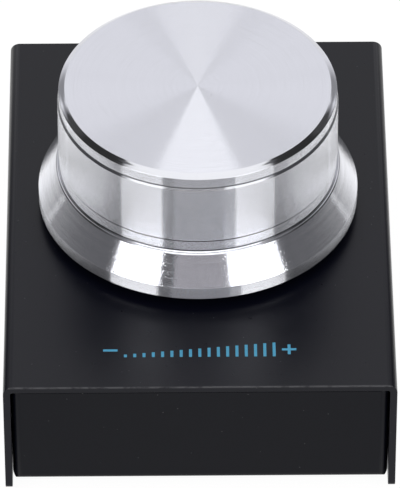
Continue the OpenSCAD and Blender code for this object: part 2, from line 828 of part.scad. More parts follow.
module dial_set_screw() color("#2a2b2e") at_axis() translate([0, flat_y, set_screw_z]) rotate([-90, 0, 0])
    difference() {
        rotate_extrude() polygon([
            [0, 0],
            [set_screw_d / 4, 0],
            [set_screw_d / 2 - fit, set_screw_tip],
            [set_screw_d / 2 - fit, set_screw_len],
            [0, set_screw_len]
        ]);
        translate([0, 0, set_screw_len - set_screw_d / 2])
            linear_extrude(set_screw_d) hexagon(set_screw_d / 2);
    }

top_cover();
bottom_tray();
cover_screws();
clinch_nuts();
rubber_feet();
circuit_board();
board_posts();
board_screws();
floor_screws();
socket_shell();
socket_tongue();
socket_contacts();
controller_chip();
chip_leads();
crystal();
bulk_capacitor();
capacitor_base();
chip_capacitors();
chip_resistors();
encoder_frame();
encoder_bushing();
encoder_base();
encoder_terminals();
encoder_brushes();
detent_spring();
switch_housing();
switch_dome();
mounting_washer();
mounting_nut();
encoder_rotor();
code_disc();
encoder_shaft();
retaining_clip();
dial();
dial_set_screw();
switch_plunger();
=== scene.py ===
"""Looks of a desktop volume knob: a turned aluminium dial on a folded, powder-coated steel case.

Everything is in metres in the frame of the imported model: +Z is up and -Y is the front.
Sizes are written in millimetres and multiplied by MM where a mesh or a node needs them.
"""

from __future__ import annotations

import logging
import math
from dataclasses import dataclass
from enum import Enum

import bmesh
import bpy
from mathutils import Matrix, Vector
from mathutils.kdtree import KDTree


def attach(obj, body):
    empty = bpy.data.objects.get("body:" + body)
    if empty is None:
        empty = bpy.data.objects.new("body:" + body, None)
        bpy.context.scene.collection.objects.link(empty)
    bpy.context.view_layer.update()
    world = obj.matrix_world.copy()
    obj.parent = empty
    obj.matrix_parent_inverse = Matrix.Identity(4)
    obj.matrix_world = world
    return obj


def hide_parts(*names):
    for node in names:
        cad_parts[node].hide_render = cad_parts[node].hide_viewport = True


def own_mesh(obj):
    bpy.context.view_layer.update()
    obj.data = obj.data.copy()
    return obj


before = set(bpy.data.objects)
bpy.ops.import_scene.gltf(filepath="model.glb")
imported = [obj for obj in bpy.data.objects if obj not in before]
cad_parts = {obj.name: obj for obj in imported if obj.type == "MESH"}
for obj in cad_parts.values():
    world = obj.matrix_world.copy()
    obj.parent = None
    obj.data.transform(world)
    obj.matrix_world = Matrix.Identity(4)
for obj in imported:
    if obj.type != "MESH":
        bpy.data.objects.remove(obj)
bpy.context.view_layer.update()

MM = 0.001
SAME_POINT = 1e-7  # metres between two points that are one
CAD_SAME_POINT = 1e-6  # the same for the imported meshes, which are rounded
CAD_FLAT_DEG = 0.5  # faces that turn by less than this are one
LOG = logging.getLogger("volume_knob")
Colour = tuple[float, float, float]


def shaded(colour: Colour, factor: float) -> Colour:
    """Makes a colour darker or lighter by a factor."""
    return tuple(factor * part for part in colour)


# ---------------------------------------------------------------- node graphs


class Wire:
    """One output of a node, which can be used in a Python expression."""

    def __init__(self, graph: Graph, socket: bpy.types.NodeSocket) -> None:
        """Keeps the output and the graph that it belongs to."""
        self.graph = graph
        self.socket = socket

    def __add__(self, other: Value) -> Wire:
        """Sum."""
        return self.graph.math("ADD", self, other)

    def __sub__(self, other: Value) -> Wire:
        """Difference."""
        return self.graph.math("SUBTRACT", self, other)

    def __rsub__(self, other: Value) -> Wire:
        """Difference, with the wire on the right."""
        return self.graph.math("SUBTRACT", other, self)

    def __mul__(self, other: Value) -> Wire:
        """Product."""
        return self.graph.math("MULTIPLY", self, other)

    def __truediv__(self, other: Value) -> Wire:
        """Quotient."""
        return self.graph.math("DIVIDE", self, other)

    def __gt__(self, other: Value) -> Wire:
        """1 where the wire is the larger one."""
        return self.graph.math("GREATER_THAN", self, other)

    def __abs__(self) -> Wire:
        """Size without its sign."""
        return self.graph.math("ABSOLUTE", self)

    def floor(self) -> Wire:
        """Whole part."""
        return self.graph.math("FLOOR", self)

    __radd__ = __add__


Value = Wire | float
Setting = object


class Graph:
    """A node tree that is written as expressions."""

    def __init__(self, tree: bpy.types.NodeTree) -> None:
        """Starts from an empty tree."""
        self.tree = tree
        self.tree.nodes.clear()

    def node(
        self,
        kind: str,
        settings: dict[str, Setting] | None = None,
        inputs: dict[str | int, Setting] | None = None,
    ) -> bpy.types.Node:
        """Adds a node.

        Args:
            kind: Blender's name of the node type.
            settings: The node's own settings; "stops" gives a ramp's (place, colour) pairs.
            inputs: Values or wires, by the socket's name or number.

        Returns:
            The new node.
        """
        made = self.tree.nodes.new(kind)
        for name, value in (settings or {}).items():
            if name == "stops":
                self._set_stops(made.color_ramp, value)
            else:
                setattr(made, name, value)
        for name, value in (inputs or {}).items():
            if isinstance(value, Wire):
                self.tree.links.new(value.socket, made.inputs[name])
            else:
                made.inputs[name].default_value = value
        return made

    @staticmethod
    def _set_stops(ramp: bpy.types.ColorRamp, stops: list[tuple[float, Colour]]) -> None:
        """Gives a colour ramp its stops.

        Args:
            ramp: The ramp, with its two first stops.
            stops: Pairs of a place from 0 to 1 and a colour, in order.
        """
        while len(ramp.elements) < len(stops):
            ramp.elements.new(0.5)
        for element, (place, colour) in zip(ramp.elements, stops):
            element.position = place
            element.color = (*colour, 1)

    def out(self, node: bpy.types.Node, name: str | int = 0) -> Wire:
        """Wraps one output of a node."""
        return Wire(self, node.outputs[name])

    def math(self, operation: str, *values: Value) -> Wire:
        """Adds a Math node for an operation on values or wires."""
        inputs = dict(enumerate(values))
        return self.out(self.node("ShaderNodeMath", {"operation": operation}, inputs))

    def vector(self, operation: str, *values: Setting) -> Wire:
        """Adds a Vector Math node and gives its vector output."""
        inputs = dict(enumerate(values))
        return self.out(self.node("ShaderNodeVectorMath", {"operation": operation}, inputs))

    def scaled(self, vector: Wire, factor: Value) -> Wire:
        """Multiplies a vector by a number."""
        made = self.node("ShaderNodeVectorMath", {"operation": "SCALE"}, {0: vector, "Scale": factor})
        return self.out(made)

    def combine(self, x: Value, y: Value, z: Value) -> Wire:
        """Makes a vector of three numbers."""
        return self.out(self.node("ShaderNodeCombineXYZ", None, {"X": x, "Y": y, "Z": z}))

    def separate(self, vector: Wire) -> tuple[Wire, Wire, Wire]:
        """Gives a vector's three numbers."""
        made = self.node("ShaderNodeSeparateXYZ", None, {0: vector})
        return self.out(made, "X"), self.out(made, "Y"), self.out(made, "Z")

    def step(self, value: Wire, low: float, high: float) -> Wire:
        """Rises smoothly from 0 at low to 1 at high, or falls where low is the larger one."""
        inputs = {"Value": value, "From Min": low, "From Max": high}
        return self.out(self.node("ShaderNodeMapRange", {"interpolation_type": "SMOOTHSTEP"}, inputs))

    def mix(self, factor: Value, a: Setting, b: Setting) -> Wire:
        """Mixes two colours.

        Args:
            factor: 0 for the first colour, 1 for the second.
            a: First colour, as a wire or three numbers.
            b: Second colour, as a wire or three numbers.

        Returns:
            The mixed colour.
        """
        colours = [value if isinstance(value, Wire) else (*value, 1) for value in (a, b)]
        inputs = {"Factor": factor, 6: colours[0], 7: colours[1]}
        return self.out(self.node("ShaderNodeMix", {"data_type": "RGBA"}, inputs), 2)


@dataclass
class Shader(Graph):
    """The node tree of one material, with the few nodes that all finishes use."""

    name: str

    def __post_init__(self) -> None:
        """Makes the material and its output."""
        self.material = bpy.data.materials.new(self.name)
        self.material.use_nodes = True
        super().__init__(self.material.node_tree)
        coordinates = self.node("ShaderNodeTexCoord")
        self.place = self.out(coordinates, "Object")

    def noise(self, pitch_mm: float, detail: float = 2.0, roughness: float = 0.5) -> Wire:
        """Cloudy pattern over the piece.

        Args:
            pitch_mm: Size of one patch.
            detail: Number of finer layers.
            roughness: Strength of the finer layers.

        Returns:
            A number from 0 to 1.
        """
        inputs = {
            "Vector": self.place, "Scale": 1 / (pitch_mm * MM), "Detail": detail, "Roughness": roughness
        }
        return self.out(self.node("ShaderNodeTexNoise", None, inputs), 0)

    def specks(self, pitch_mm: float, size: float) -> Wire:
        """Small separate spots.

        Args:
            pitch_mm: Distance between spots.
            size: Radius of a spot as a share of the pitch.

        Returns:
            1 in a spot and 0 between them.
        """
        inputs = {"Vector": self.place, "Scale": 1 / (pitch_mm * MM)}
        cells = self.node("ShaderNodeTexVoronoi", None, inputs)
        return self.step(self.out(cells, "Distance"), size, size * 0.5)

    def bump(self, height: Wire, depth_mm: float, strength: float = 1.0) -> Wire:
        """Turns a height from 0 to 1 into a normal.

        Args:
            height: The pattern.
            depth_mm: Depth of the pattern.
            strength: Share of the effect.

        Returns:
            The bumped normal.
        """
        inputs = {"Height": height, "Distance": depth_mm * MM, "Strength": strength}
        return self.out(self.node("ShaderNodeBump", None, inputs))

    def finish(self, inputs: dict[str, Setting]) -> bpy.types.Material:
        """Adds the surface shader and the output.

        Args:
            inputs: Values or wires of the surface shader's sockets.

        Returns:
            The finished material.
        """
        surface = self.node("ShaderNodeBsdfPrincipled", None, inputs)
        self.node("ShaderNodeOutputMaterial", None, {"Surface": self.out(surface)})
        return self.material


# ---------------------------------------------------------------- finishes


@dataclass(frozen=True)
class PowderCoat:
    """Matt black powder coat with a fine grain and a little dust."""

    name: str
    colour: Colour = (0.0014, 0.0017, 0.005)
    roughness: float = 0.24
    shine: float = 0.34
    grain_mm: float = 0.28
    peel_mm: float = 1.4
    dust_mm: float = 1.9
    dust_colour: Colour = (0.2, 0.2, 0.21)
    # Painted highlight along the upper front edge: where it starts, from which height, how soft its sides
    # are, the size of its patches and its colour.
    painted_highlight_front_mm: float = 40.75
    painted_highlight_from_z_mm: float = 22.3
    painted_highlight_soft_mm: float = 0.15
    painted_highlight_patch_mm: float = 1.1
    painted_highlight_colour: Colour = (0.06, 0.06, 0.066)

    def make(self) -> bpy.types.Material:
        """Builds the material, with a painted highlight that makes the coat paler in patches along the upper
        front edge.

        Returns:
            The finished material.
        """
        s = Shader(self.name)
        grain = s.noise(self.grain_mm, 3, 0.6)
        peel = s.noise(self.peel_mm, 1)
        dust = s.specks(self.dust_mm, 0.05)
        coat = s.mix(grain, self.colour, shaded(self.colour, 1.6))
        _, y, z = s.separate(s.place)
        # Painted highlight: a paler coat colour in patches along the upper front edge, where the rounded edge
        # catches the light from overhead.
        front, low = self.painted_highlight_front_mm * MM, self.painted_highlight_from_z_mm * MM
        soft = self.painted_highlight_soft_mm * MM
        painted_highlight = s.step(0 - y, front, front + soft) * s.step(z, low, low + soft)
        painted_highlight = painted_highlight * s.step(s.noise(self.painted_highlight_patch_mm, 3), 0.26, 0.56)
        coat = s.mix(painted_highlight, coat, self.painted_highlight_colour)
        return s.finish(
            {
                "Base Color": s.mix(dust * 0.5, coat, self.dust_colour),
                "Specular IOR Level": self.shine,
                "Roughness": self.roughness + peel * 0.06 + grain * 0.05,
                "Normal": s.bump(grain * 0.7 + peel * 0.3, 0.02, 0.6),
            }
        )


@dataclass(frozen=True)
class TurnedZone:
    """A stretch of the dial that is turned in one cut, from a height upwards.

    At a glance deep grooves stand in each other's way, and scatter a share of the light there.
    """

    from_z_mm: float
    groove_deg: float
    roughness: float
    # shade darkens the zone's colour: painted shade in the grooves and the undercut and on the rim band.
    shade: float = 1.0
    lean_deg: float = 0.0
    dents: float = 0.1
    scatter: float = 0.0


@dataclass(frozen=True)
class TurnedAluminium:
    """Lathe-turned aluminium, whose fine grooves run round the dial's axis.

    The way along the profile is the radius plus the height times run_per_z. Tilts and turns are slopes, and
    glance is the range of the facing value over which a zone's scatter sets in.
    """

    name: str
    axis_y_mm: float
    zones: tuple[TurnedZone, ...]
    colour: Colour = (0.86, 0.868, 0.92)
    pull: float = 1.0
    groove_pitch_mm: float = 0.09
    run_per_z: float = 1.37
    ring_pitch_mm: float = 0.4
    ring_tilt: float = 0.05
    scratch_tilt: float = 0.06
    scratch_per_m: float = 9000.0
    scratch_per_rad: float = 2.2
    dent_turn: float = 0.032
    glance: tuple[float, float] = (0.4, 0.68)
    glance_dim: float = 0.4

    def make(self) -> bpy.types.Material:
        """Builds the material, with grooves that tilt the surface along the dial's profile.

        Returns:
            The finished material.
        """
        s = Shader(self.name)
        x, y, z = s.separate(s.place)
        y = y - self.axis_y_mm * MM
        radius = s.math("SQRT", x * x + y * y)
        around = s.vector("NORMALIZE", s.combine(0 - y, x, 0.0))
        turned = {"vector_type": "VECTOR", "convert_from": "OBJECT", "convert_to": "WORLD"}
        around = s.out(s.node("ShaderNodeVectorTransform", turned, {0: around}))
        normal = s.out(s.node("ShaderNodeNewGeometry"), "Normal")
        along = s.vector("CROSS_PRODUCT", normal, around)
        run = radius + z * self.run_per_z
        wave = s.math("SINE", run * (2 * math.pi / (self.groove_pitch_mm * MM)))
        coarse = self.rings(s, run, self.ring_pitch_mm)
        scratch = self.scratches(s, x, y, z)
        slope = self.by_zone(z, [math.tan(math.radians(zone.groove_deg)) for zone in self.zones])
        roughness = self.by_zone(z, [zone.roughness for zone in self.zones])
        lean = self.by_zone(z, [math.tan(math.radians(zone.lean_deg)) for zone in self.zones])
        dents = self.by_zone(z, [zone.dents for zone in self.zones])
        tilt = wave * slope + (coarse - 0.5) * self.ring_tilt - lean + scratch * dents * self.scratch_tilt
        pits = s.step(s.noise(0.2, 2), 0.58, 0.7) - s.step(s.noise(0.26, 2), 0.42, 0.3)
        turn = pits * dents * self.dent_turn
        tilted = s.vector("ADD", s.vector("ADD", normal, s.scaled(along, tilt)), s.scaled(around, turn))
        tilted = s.vector("NORMALIZE", tilted)
        facing = s.out(s.node("ShaderNodeLayerWeight", None, {"Blend": 0.5}), "Facing")
        scattered = self.by_zone(z, [zone.scatter for zone in self.zones]) * s.step(facing, *self.glance)
        # The zone's painted shade, times the share of colour that the grooves' scatter takes at a glance.
        shade = self.by_zone(z, [zone.shade for zone in self.zones]) * (1 - scattered * self.glance_dim)
        metal = s.mix(coarse * 0.5 + scratch * 0.5, self.colour, shaded(self.colour, 0.93))
        return s.finish(
            {
                "Base Color": s.mix(shade, (0.0, 0.0, 0.0), metal),
                "Metallic": 1 - scattered,
                "Specular IOR Level": 0.0,
                "Roughness": roughness + scratch * 0.05,
                "Anisotropic": self.pull,
                "Anisotropic Rotation": 0.25,
                "Normal": tilted,
            }
        )

    def by_zone(self, z: Wire, values: list[float]) -> Wire:
        """Picks the value of the zone that the height lies in.

        Args:
            z: Height.
            values: One value for each zone, from the foot up.

        Returns:
            The value at that height.
        """
        found = z * 0.0 + values[0]
        for zone, below, here in zip(self.zones[1:], values, values[1:]):
            found = found + (z > zone.from_z_mm * MM) * (here - below)
        return found

    def scratches(self, s: Shader, x: Wire, y: Wire, z: Wire) -> Wire:
        """Short marks that lie round the axis.

        Args:
            s: The shader.
            x: Place across the dial.
            y: Place behind the dial's axis.
            z: Height.

        Returns:
            1 in a mark and 0 beside it.
        """
        angle = s.math("ARCTAN2", x, y) * self.scratch_per_rad
        radius = s.math("SQRT", x * x + y * y)
        place = s.combine(angle, radius * self.scratch_per_m, z * self.scratch_per_m)
        cloud = s.out(s.node("ShaderNodeTexNoise", None, {"Vector": place, "Scale": 1.0, "Detail": 2.0}), 0)
        return s.step(cloud, 0.6, 0.72)

    @staticmethod
    def rings(s: Shader, run: Wire, pitch_mm: float) -> Wire:
        """Noise that changes along the profile only, so that it makes rings.

        Args:
            s: The shader.
            run: Distance along the profile.
            pitch_mm: Distance between rings.

        Returns:
            A number from 0 to 1.
        """
        inputs = {"W": run, "Scale": 1 / (pitch_mm * MM), "Detail": 2.0, "Roughness": 0.6}
        return s.out(s.node("ShaderNodeTexNoise", {"noise_dimensions": "1D"}, inputs), 0)


@dataclass(frozen=True)
class Metal:
    """Plated, drawn or blackened metal with faint smudges."""

    name: str
    colour: Colour
    roughness: float = 0.3
    metallic: float = 1.0

    def make(self) -> bpy.types.Material:
        """Builds the material.

        Returns:
            The finished material.
        """
        s = Shader(self.name)
        smudge = s.noise(1.3, 3)
        scratch = s.noise(0.12, 2)
        return s.finish(
            {
                "Base Color": s.mix(smudge, self.colour, shaded(self.colour, 0.8)),
                "Metallic": self.metallic,
                "Roughness": self.roughness + (smudge - 0.5) * 0.14,
                "Normal": s.bump(scratch, 0.003, 0.5),
            }
        )


@dataclass(frozen=True)
class Moulded:
    """Moulded plastic, rubber or ceramic with a fine grain."""

    name: str
    colour: Colour
    roughness: float = 0.5
    grain_mm: float = 0.2
    depth_mm: float = 0.01

    def make(self) -> bpy.types.Material:
        """Builds the material.

        Returns:
            The finished material.
        """
        s = Shader(self.name)
        grain = s.noise(self.grain_mm, 2)
        cloud = s.noise(3.0, 2)
        return s.finish(
            {
                "Base Color": s.mix(cloud, self.colour, shaded(self.colour, 0.82)),
                "Roughness": self.roughness + (grain - 0.5) * 0.12,
                "Normal": s.bump(grain, self.depth_mm, 0.7),
            }
        )


@dataclass(frozen=True)
class BoardLacquer:
    """Green lacquered circuit board with copper tracks under the lacquer."""

    name: str
    colour: Colour = (0.012, 0.11, 0.035)
    track: Colour = (0.05, 0.23, 0.07)

    def make(self) -> bpy.types.Material:
        """Builds the material.

        Returns:
            The finished material.
        """
        s = Shader(self.name)
        settings = {"offset": 0.5, "squash": 1.4, "squash_frequency": 3}
        inputs = {"Vector": s.place, "Scale": 1 / (6 * MM), "Mortar Size": 0.04, "Mortar Smooth": 0.3}
        tracks = s.out(s.node("ShaderNodeTexBrick", settings, inputs), "Fac")
        weave = s.noise(0.5, 2)
        return s.finish(
            {
                "Base Color": s.mix(tracks, self.colour, self.track),
                "Roughness": 0.32 + weave * 0.1,
                "Normal": s.bump(tracks + weave * 0.2, 0.03, 0.6),
            }
        )


@dataclass(frozen=True)
class PrintedInk:
    """Screen-printed ink, slightly uneven."""

    name: str
    colour: Colour = (0.085, 0.42, 0.66)

    def make(self) -> bpy.types.Material:
        """Builds the material.

        Returns:
            The finished material.
        """
        s = Shader(self.name)
        blot = s.noise(0.35, 2)
        return s.finish(
            {
                "Base Color": s.mix(blot, self.colour, shaded(self.colour, 0.8)),
                "Roughness": 0.5 + blot * 0.1,
                "Normal": s.bump(blot, 0.004, 0.5),
            }
        )


AXIS_Y_MM = 2.0
# Zones from the foot up: rim, flare, lip, undercut, foot band, low groove, barrel, the upper groove's bevel
# and inner wall, upper band, chamfer, top face. The fourth number is painted shade, which makes the colour
# darker in the undercut, the low groove, the upper groove's bevel and inner wall, and on the rim band.
DIAL_ZONES = (
    TurnedZone(0.0, 12, 0.14, 0.66, -19, 0.5),
    TurnedZone(26.4, 4, 0.12, dents=1.0),
    TurnedZone(30.86, 13, 0.1, 1.0, -14),
    TurnedZone(31.31, 26, 0.14, 0.3),
    TurnedZone(31.44, 26, 0.14),
    TurnedZone(33.12, 26, 0.14, 0.2),
    TurnedZone(33.34, 26, 0.14),
    TurnedZone(43.42, 7, 0.1, 0.5),
    TurnedZone(43.74, 7, 0.1, 0.3),
    TurnedZone(43.97, 26, 0.14),
    TurnedZone(45.58, 2, 0.07),
    TurnedZone(46.18, 20.5, 0.08, 1.0, 1.8, scatter=0.85),
)

FINISHES = {
    "cover_coat": PowderCoat("cover_coat"),
    # The tray's coat is the cover's powder coat with less shine and a little less blue: painted shade on the
    # front panel, which gets less light from below.
    "tray_coat": PowderCoat("tray_coat", (0.0014, 0.0017, 0.004), 0.26, 0.22),
    "turned_aluminium": TurnedAluminium("turned_aluminium", AXIS_Y_MM, DIAL_ZONES),
    "rubber": Moulded("rubber", (0.016, 0.016, 0.017), 0.82, 0.15, 0.02),
    "black_steel": Metal("black_steel", (0.05, 0.05, 0.053), 0.38),
    "plated_steel": Metal("plated_steel", (0.62, 0.63, 0.65), 0.28),
    "shaft_steel": Metal("shaft_steel", (0.55, 0.56, 0.58), 0.22),
    "spring_steel": Metal("spring_steel", (0.6, 0.6, 0.62), 0.25),
    "cast_zinc": Metal("cast_zinc", (0.5, 0.5, 0.52), 0.45),
    "tinned_copper": Metal("tinned_copper", (0.66, 0.65, 0.62), 0.35),
    "can_aluminium": Metal("can_aluminium", (0.72, 0.73, 0.75), 0.3),
    "brass": Metal("brass", (0.72, 0.5, 0.2), 0.3),
    "gold_contact": Metal("gold_contact", (0.9, 0.65, 0.25), 0.25),
    "board": BoardLacquer("board"),
    "black_plastic": Moulded("black_plastic", (0.02, 0.02, 0.021), 0.5),
    "chip_plastic": Moulded("chip_plastic", (0.028, 0.028, 0.03), 0.6),
    "ceramic_tan": Moulded("ceramic_tan", (0.36, 0.25, 0.14), 0.45),
    "white_plastic": Moulded("white_plastic", (0.72, 0.7, 0.64), 0.45),
    "scale_ink": PrintedInk("scale_ink"),
}


class Finishes:
    """Makes each finish once and hands it out by name."""

    def __init__(self) -> None:
        """Starts with no finish made."""
        self.made: dict[str, bpy.types.Material] = {}

    def get(self, name: str) -> bpy.types.Material:
        """Gives a finish, which is made at its first use.

        Args:
            name: Its name in FINISHES.

        Returns:
            The finish's material.
        """
        if name not in self.made:
            self.made[name] = FINISHES[name].make()
        return self.made[name]


# ---------------------------------------------------------------- shapes


@dataclass(frozen=True)
class Corner:
    """One corner of a turned outline, with the radius that rounds it, in millimetres."""

    r: float
    z: float
    round: float = 0.0


def rounded_outline(corners: list[Corner], steps: int = 3) -> list[tuple[Vector, Vector]]:
    """Rounds the corners of an outline that runs from the top of the axis round to its foot.

    Args:
        corners: The outline's corners, with the solid on the right-hand side of the run.
        steps: Number of short sides in each round corner.

    Returns:
        Pairs of a point (r, 0, z) and its outward normal, in metres.
    """
    points = [Vector((c.r, 0, c.z)) for c in corners]
    found: list[tuple[Vector, Vector]] = []

    def outward(a: Vector, b: Vector) -> Vector:
        """Normal on the left of the way from a to b."""
        way = (b - a).normalized()
        return Vector((-way.z, 0, way.x))

    for i, corner in enumerate(corners):
        here = points[i]
        before = outward(points[i - 1], here) if i else None
        after = outward(here, points[i + 1]) if i + 1 < len(points) else None
        if before is None or after is None:
            found.append((here, after or before))
            continue
        back, ahead = (points[i - 1] - here), (points[i + 1] - here)
        turn = back.angle(ahead)
        cut = corner.round / math.tan(turn / 2)
        cut = min(cut, back.length * 0.45, ahead.length * 0.45)
        start, end = here + back.normalized() * cut, here + ahead.normalized() * cut
        for k in range(steps + 1):
            t = k / steps
            bent = start.lerp(here, t).lerp(here.lerp(end, t), t)
            found.append((bent, before.slerp(after, t)))
    return [(point * MM, normal) for point, normal in found]


class Link(Enum):
    """How a helper's points are joined."""

    LINE = "line"
    LOOSE = "loose"


TURN = "turn"


def helper_object(
    name: str, points: list[Vector], link: Link, turns: list[tuple[float, float, float]] | None = None
) -> bpy.types.Object:
    """Makes an object of points, for a node tree to build on.

    Args:
        name: Name of the object and its mesh.
        points: The points, in metres.
        link: Whether an edge joins each point to the next one.
        turns: Rotation of the copy at each point, in radians about X, Y and Z.

    Returns:
        The linked object.
    """
    mesh = bpy.data.meshes.new(name)
    edges = [(i, i + 1) for i in range(len(points) - 1)] if link is Link.LINE else []
    mesh.from_pydata(points, edges, [])
    if turns:
        turn = mesh.attributes.new(TURN, "FLOAT_VECTOR", "POINT")
        for entry, value in zip(turn.data, turns):
            entry.vector = value
    made = bpy.data.objects.new(name, mesh)
    bpy.context.scene.collection.objects.link(made)
    return made


@dataclass
class Recipe(Graph):
    """A Geometry Nodes tree with named inputs, which a piece's mesh is built by."""

    name: str
    sizes: dict[str, str]

    def __post_init__(self) -> None:
        """Makes the tree with its inputs and its output.

        The sizes give each input's name and socket type, beside the Geometry and the Material that every
        recipe has.
        """
        tree = bpy.data.node_groups.new(self.name, "GeometryNodeTree")
        super().__init__(tree)
        face = tree.interface
        face.new_socket("Geometry", in_out="OUTPUT", socket_type="NodeSocketGeometry")
        kinds = {"Geometry": "NodeSocketGeometry", **self.sizes, "Material": "NodeSocketMaterial"}
        self.keys = {
            name: face.new_socket(name, in_out="INPUT", socket_type=kind).identifier
            for name, kind in kinds.items()
        }
        self.given = self.node("NodeGroupInput")

    def size(self, name: str) -> Wire:
        """Wraps one named input."""
        return self.out(self.given, name)

    def joined(self, parts: list[Wire]) -> Wire:
        """Joins several geometries.

        Args:
            parts: The geometries.

        Returns:
            All of them as one.
        """
        join = self.node("GeometryNodeJoinGeometry")
        for part in parts:
            self.tree.links.new(part.socket, join.inputs[0])
        return self.out(join)

    def end(self, geometry: Wire) -> None:
        """Ends the tree in real geometry with its material.

        Args:
            geometry: What the recipe makes.
        """
        real = self.out(self.node("GeometryNodeRealizeInstances", None, {0: geometry}))
        inputs = {"Geometry": real, "Material": self.size("Material")}
        dressed = self.out(self.node("GeometryNodeSetMaterial", None, inputs))
        self.node("NodeGroupOutput", None, {0: dressed})

    def add_to(
        self, piece: bpy.types.Object, material: bpy.types.Material, values: dict[str, Setting]
    ) -> None:
        """Puts the recipe on an object.

        Args:
            piece: The object whose mesh feeds the recipe.
            material: The finish that its result gets.
            values: The named inputs.
        """
        modifier = piece.modifiers.new(self.name, "NODES")
        modifier.node_group = self.tree
        for name, value in values.items():
            modifier[self.keys[name]] = value
        modifier[self.keys["Material"]] = material


def turned_mesh(g: Recipe) -> Wire:
    """Turns the line of points (r, 0, z) that the recipe is given about the Z axis.

    Args:
        g: The recipe, with its input Segments.

    Returns:
        The turned mesh.
    """
    count = g.out(g.node("GeometryNodeAttributeDomainSize", None, {0: g.size("Geometry")}), "Point Count")
    inputs = {"Vertices X": g.size("Segments") + 1, "Vertices Y": count}
    grid = g.out(g.node("GeometryNodeMeshGrid", None, inputs))
    index = g.out(g.node("GeometryNodeInputIndex"))
    column = (index / count).floor()
    row = index - column * count
    position = g.out(g.node("GeometryNodeInputPosition"))
    settings = {"data_type": "FLOAT_VECTOR", "domain": "POINT"}
    inputs = {"Geometry": g.size("Geometry"), "Value": position, "Index": row}
    radius, _, height = g.separate(g.out(g.node("GeometryNodeSampleIndex", settings, inputs)))
    angle = column * (2 * math.pi) / g.size("Segments")
    placed = g.combine(radius * g.math("SINE", angle), radius * g.math("COSINE", angle), height)
    bent = g.out(g.node("GeometryNodeSetPosition", None, {"Geometry": grid, "Position": placed}))
    return g.out(g.node("GeometryNodeMergeByDistance", None, {"Geometry": bent, "Distance": SAME_POINT}))


def turning_recipe() -> Recipe:
    """Turns one piece and moves it to its axis.

    Returns:
        The recipe.
    """
    g = Recipe("Turning", {"Segments": "NodeSocketInt", "Axis": "NodeSocketVector"})
    inputs = {"Geometry": turned_mesh(g), "Translation": g.size("Axis")}
    g.end(g.out(g.node("GeometryNodeTransform", None, inputs)))
    return g


class Head(Enum):
    """Top of a turned piece."""

    PLAIN = "plain"
    CROSS = "cross"


def set_recipe(head: Head) -> Recipe:
    """Turns one piece and copies it to each place.

    Args:
        head: Whether a cross is cut into its top.

    Returns:
        The recipe.
    """
    sizes = {"Segments": "NodeSocketInt", "Places": "NodeSocketObject"}
    if head is Head.CROSS:
        sizes |= {name: "NodeSocketFloat" for name in ("Top", "Cross length", "Cross width", "Depth")}
    g = Recipe(f"Set of turned pieces, {head.value}", sizes)
    piece = turned_mesh(g)
    if head is Head.CROSS:
        piece = cut_cross(g, piece)
    places = g.out(g.node("GeometryNodeObjectInfo", None, {"Object": g.size("Places")}), "Geometry")
    turn = g.node("GeometryNodeInputNamedAttribute", {"data_type": "FLOAT_VECTOR"}, {"Name": TURN})
    inputs = {"Points": places, "Instance": piece, "Rotation": g.out(turn)}
    g.end(g.out(g.node("GeometryNodeInstanceOnPoints", None, inputs)))
    return g


def cut_cross(g: Recipe, piece: Wire) -> Wire:
    """Cuts the driver's cross into the top of a turned piece.

    Args:
        g: The recipe, with the cross's sizes as inputs.
        piece: The turned piece.

    Returns:
        The piece with its cross.
    """
    long, wide = g.size("Cross length"), g.size("Cross width")
    middle = g.combine(0.0, 0.0, g.size("Top"))
    arms = []
    for x, y in ((long, wide), (wide, long)):
        arm = g.out(g.node("GeometryNodeMeshCube", None, {"Size": g.combine(x, y, g.size("Depth") * 2)}))
        arms.append(g.out(g.node("GeometryNodeTransform", None, {"Geometry": arm, "Translation": middle})))
    inputs = {"Mesh 1": piece, "Mesh 2": g.joined(arms), "Self Intersection": True}
    settings = {"operation": "DIFFERENCE", "solver": "EXACT"}
    return g.out(g.node("GeometryNodeMeshBoolean", settings, inputs))


def scale_recipe() -> Recipe:
    """Prints a row of bars that grow to the right between a minus and a plus sign.

    Returns:
        The recipe.
    """
    sizes = {"Bars": "NodeSocketInt", "Place": "NodeSocketVector"}
    floats = ("Pitch", "Stroke", "First height", "Last height", "Thickness", "Sign size", "Sign gap")
    g = Recipe("Volume scale", sizes | {name: "NodeSocketFloat" for name in floats})
    stroke, thick, sign = g.size("Stroke"), g.size("Thickness"), g.size("Sign size")
    last = g.size("Bars") - 1
    line = g.out(g.node("GeometryNodeMeshLine", None, {"Count": g.size("Bars"), "Offset": (0, 0, 0)}))
    index = g.out(g.node("GeometryNodeInputIndex"))
    height = g.size("First height") + (g.size("Last height") - g.size("First height")) * index / last
    spot = g.combine((index - last / 2) * g.size("Pitch"), height / 2, thick / 2)
    spots = g.out(g.node("GeometryNodeSetPosition", None, {"Geometry": line, "Position": spot}))
    cube = g.out(g.node("GeometryNodeMeshCube", None, {"Size": (1, 1, 1)}))
    inputs = {"Points": spots, "Instance": cube, "Scale": g.combine(stroke, height, thick)}
    parts = [g.out(g.node("GeometryNodeInstanceOnPoints", None, inputs))]
    aside = last / 2 * g.size("Pitch") + g.size("Sign gap")
    half = (sign - stroke) / 2
    beside = (sign + stroke) / 4
    arms = (
        (0 - aside, sign, stroke),
        (aside, stroke, sign),
        (aside - beside, half, stroke),
        (aside + beside, half, stroke),
    )
    for place, x, y in arms:
        arm = g.out(g.node("GeometryNodeMeshCube", None, {"Size": g.combine(x, y, thick)}))
        spot = g.combine(place, g.size("Last height") / 2, thick / 2)
        parts.append(g.out(g.node("GeometryNodeTransform", None, {"Geometry": arm, "Translation": spot})))
    inputs = {"Geometry": g.joined(parts), "Translation": g.size("Place")}
    g.end(g.out(g.node("GeometryNodeTransform", None, inputs)))
    return g


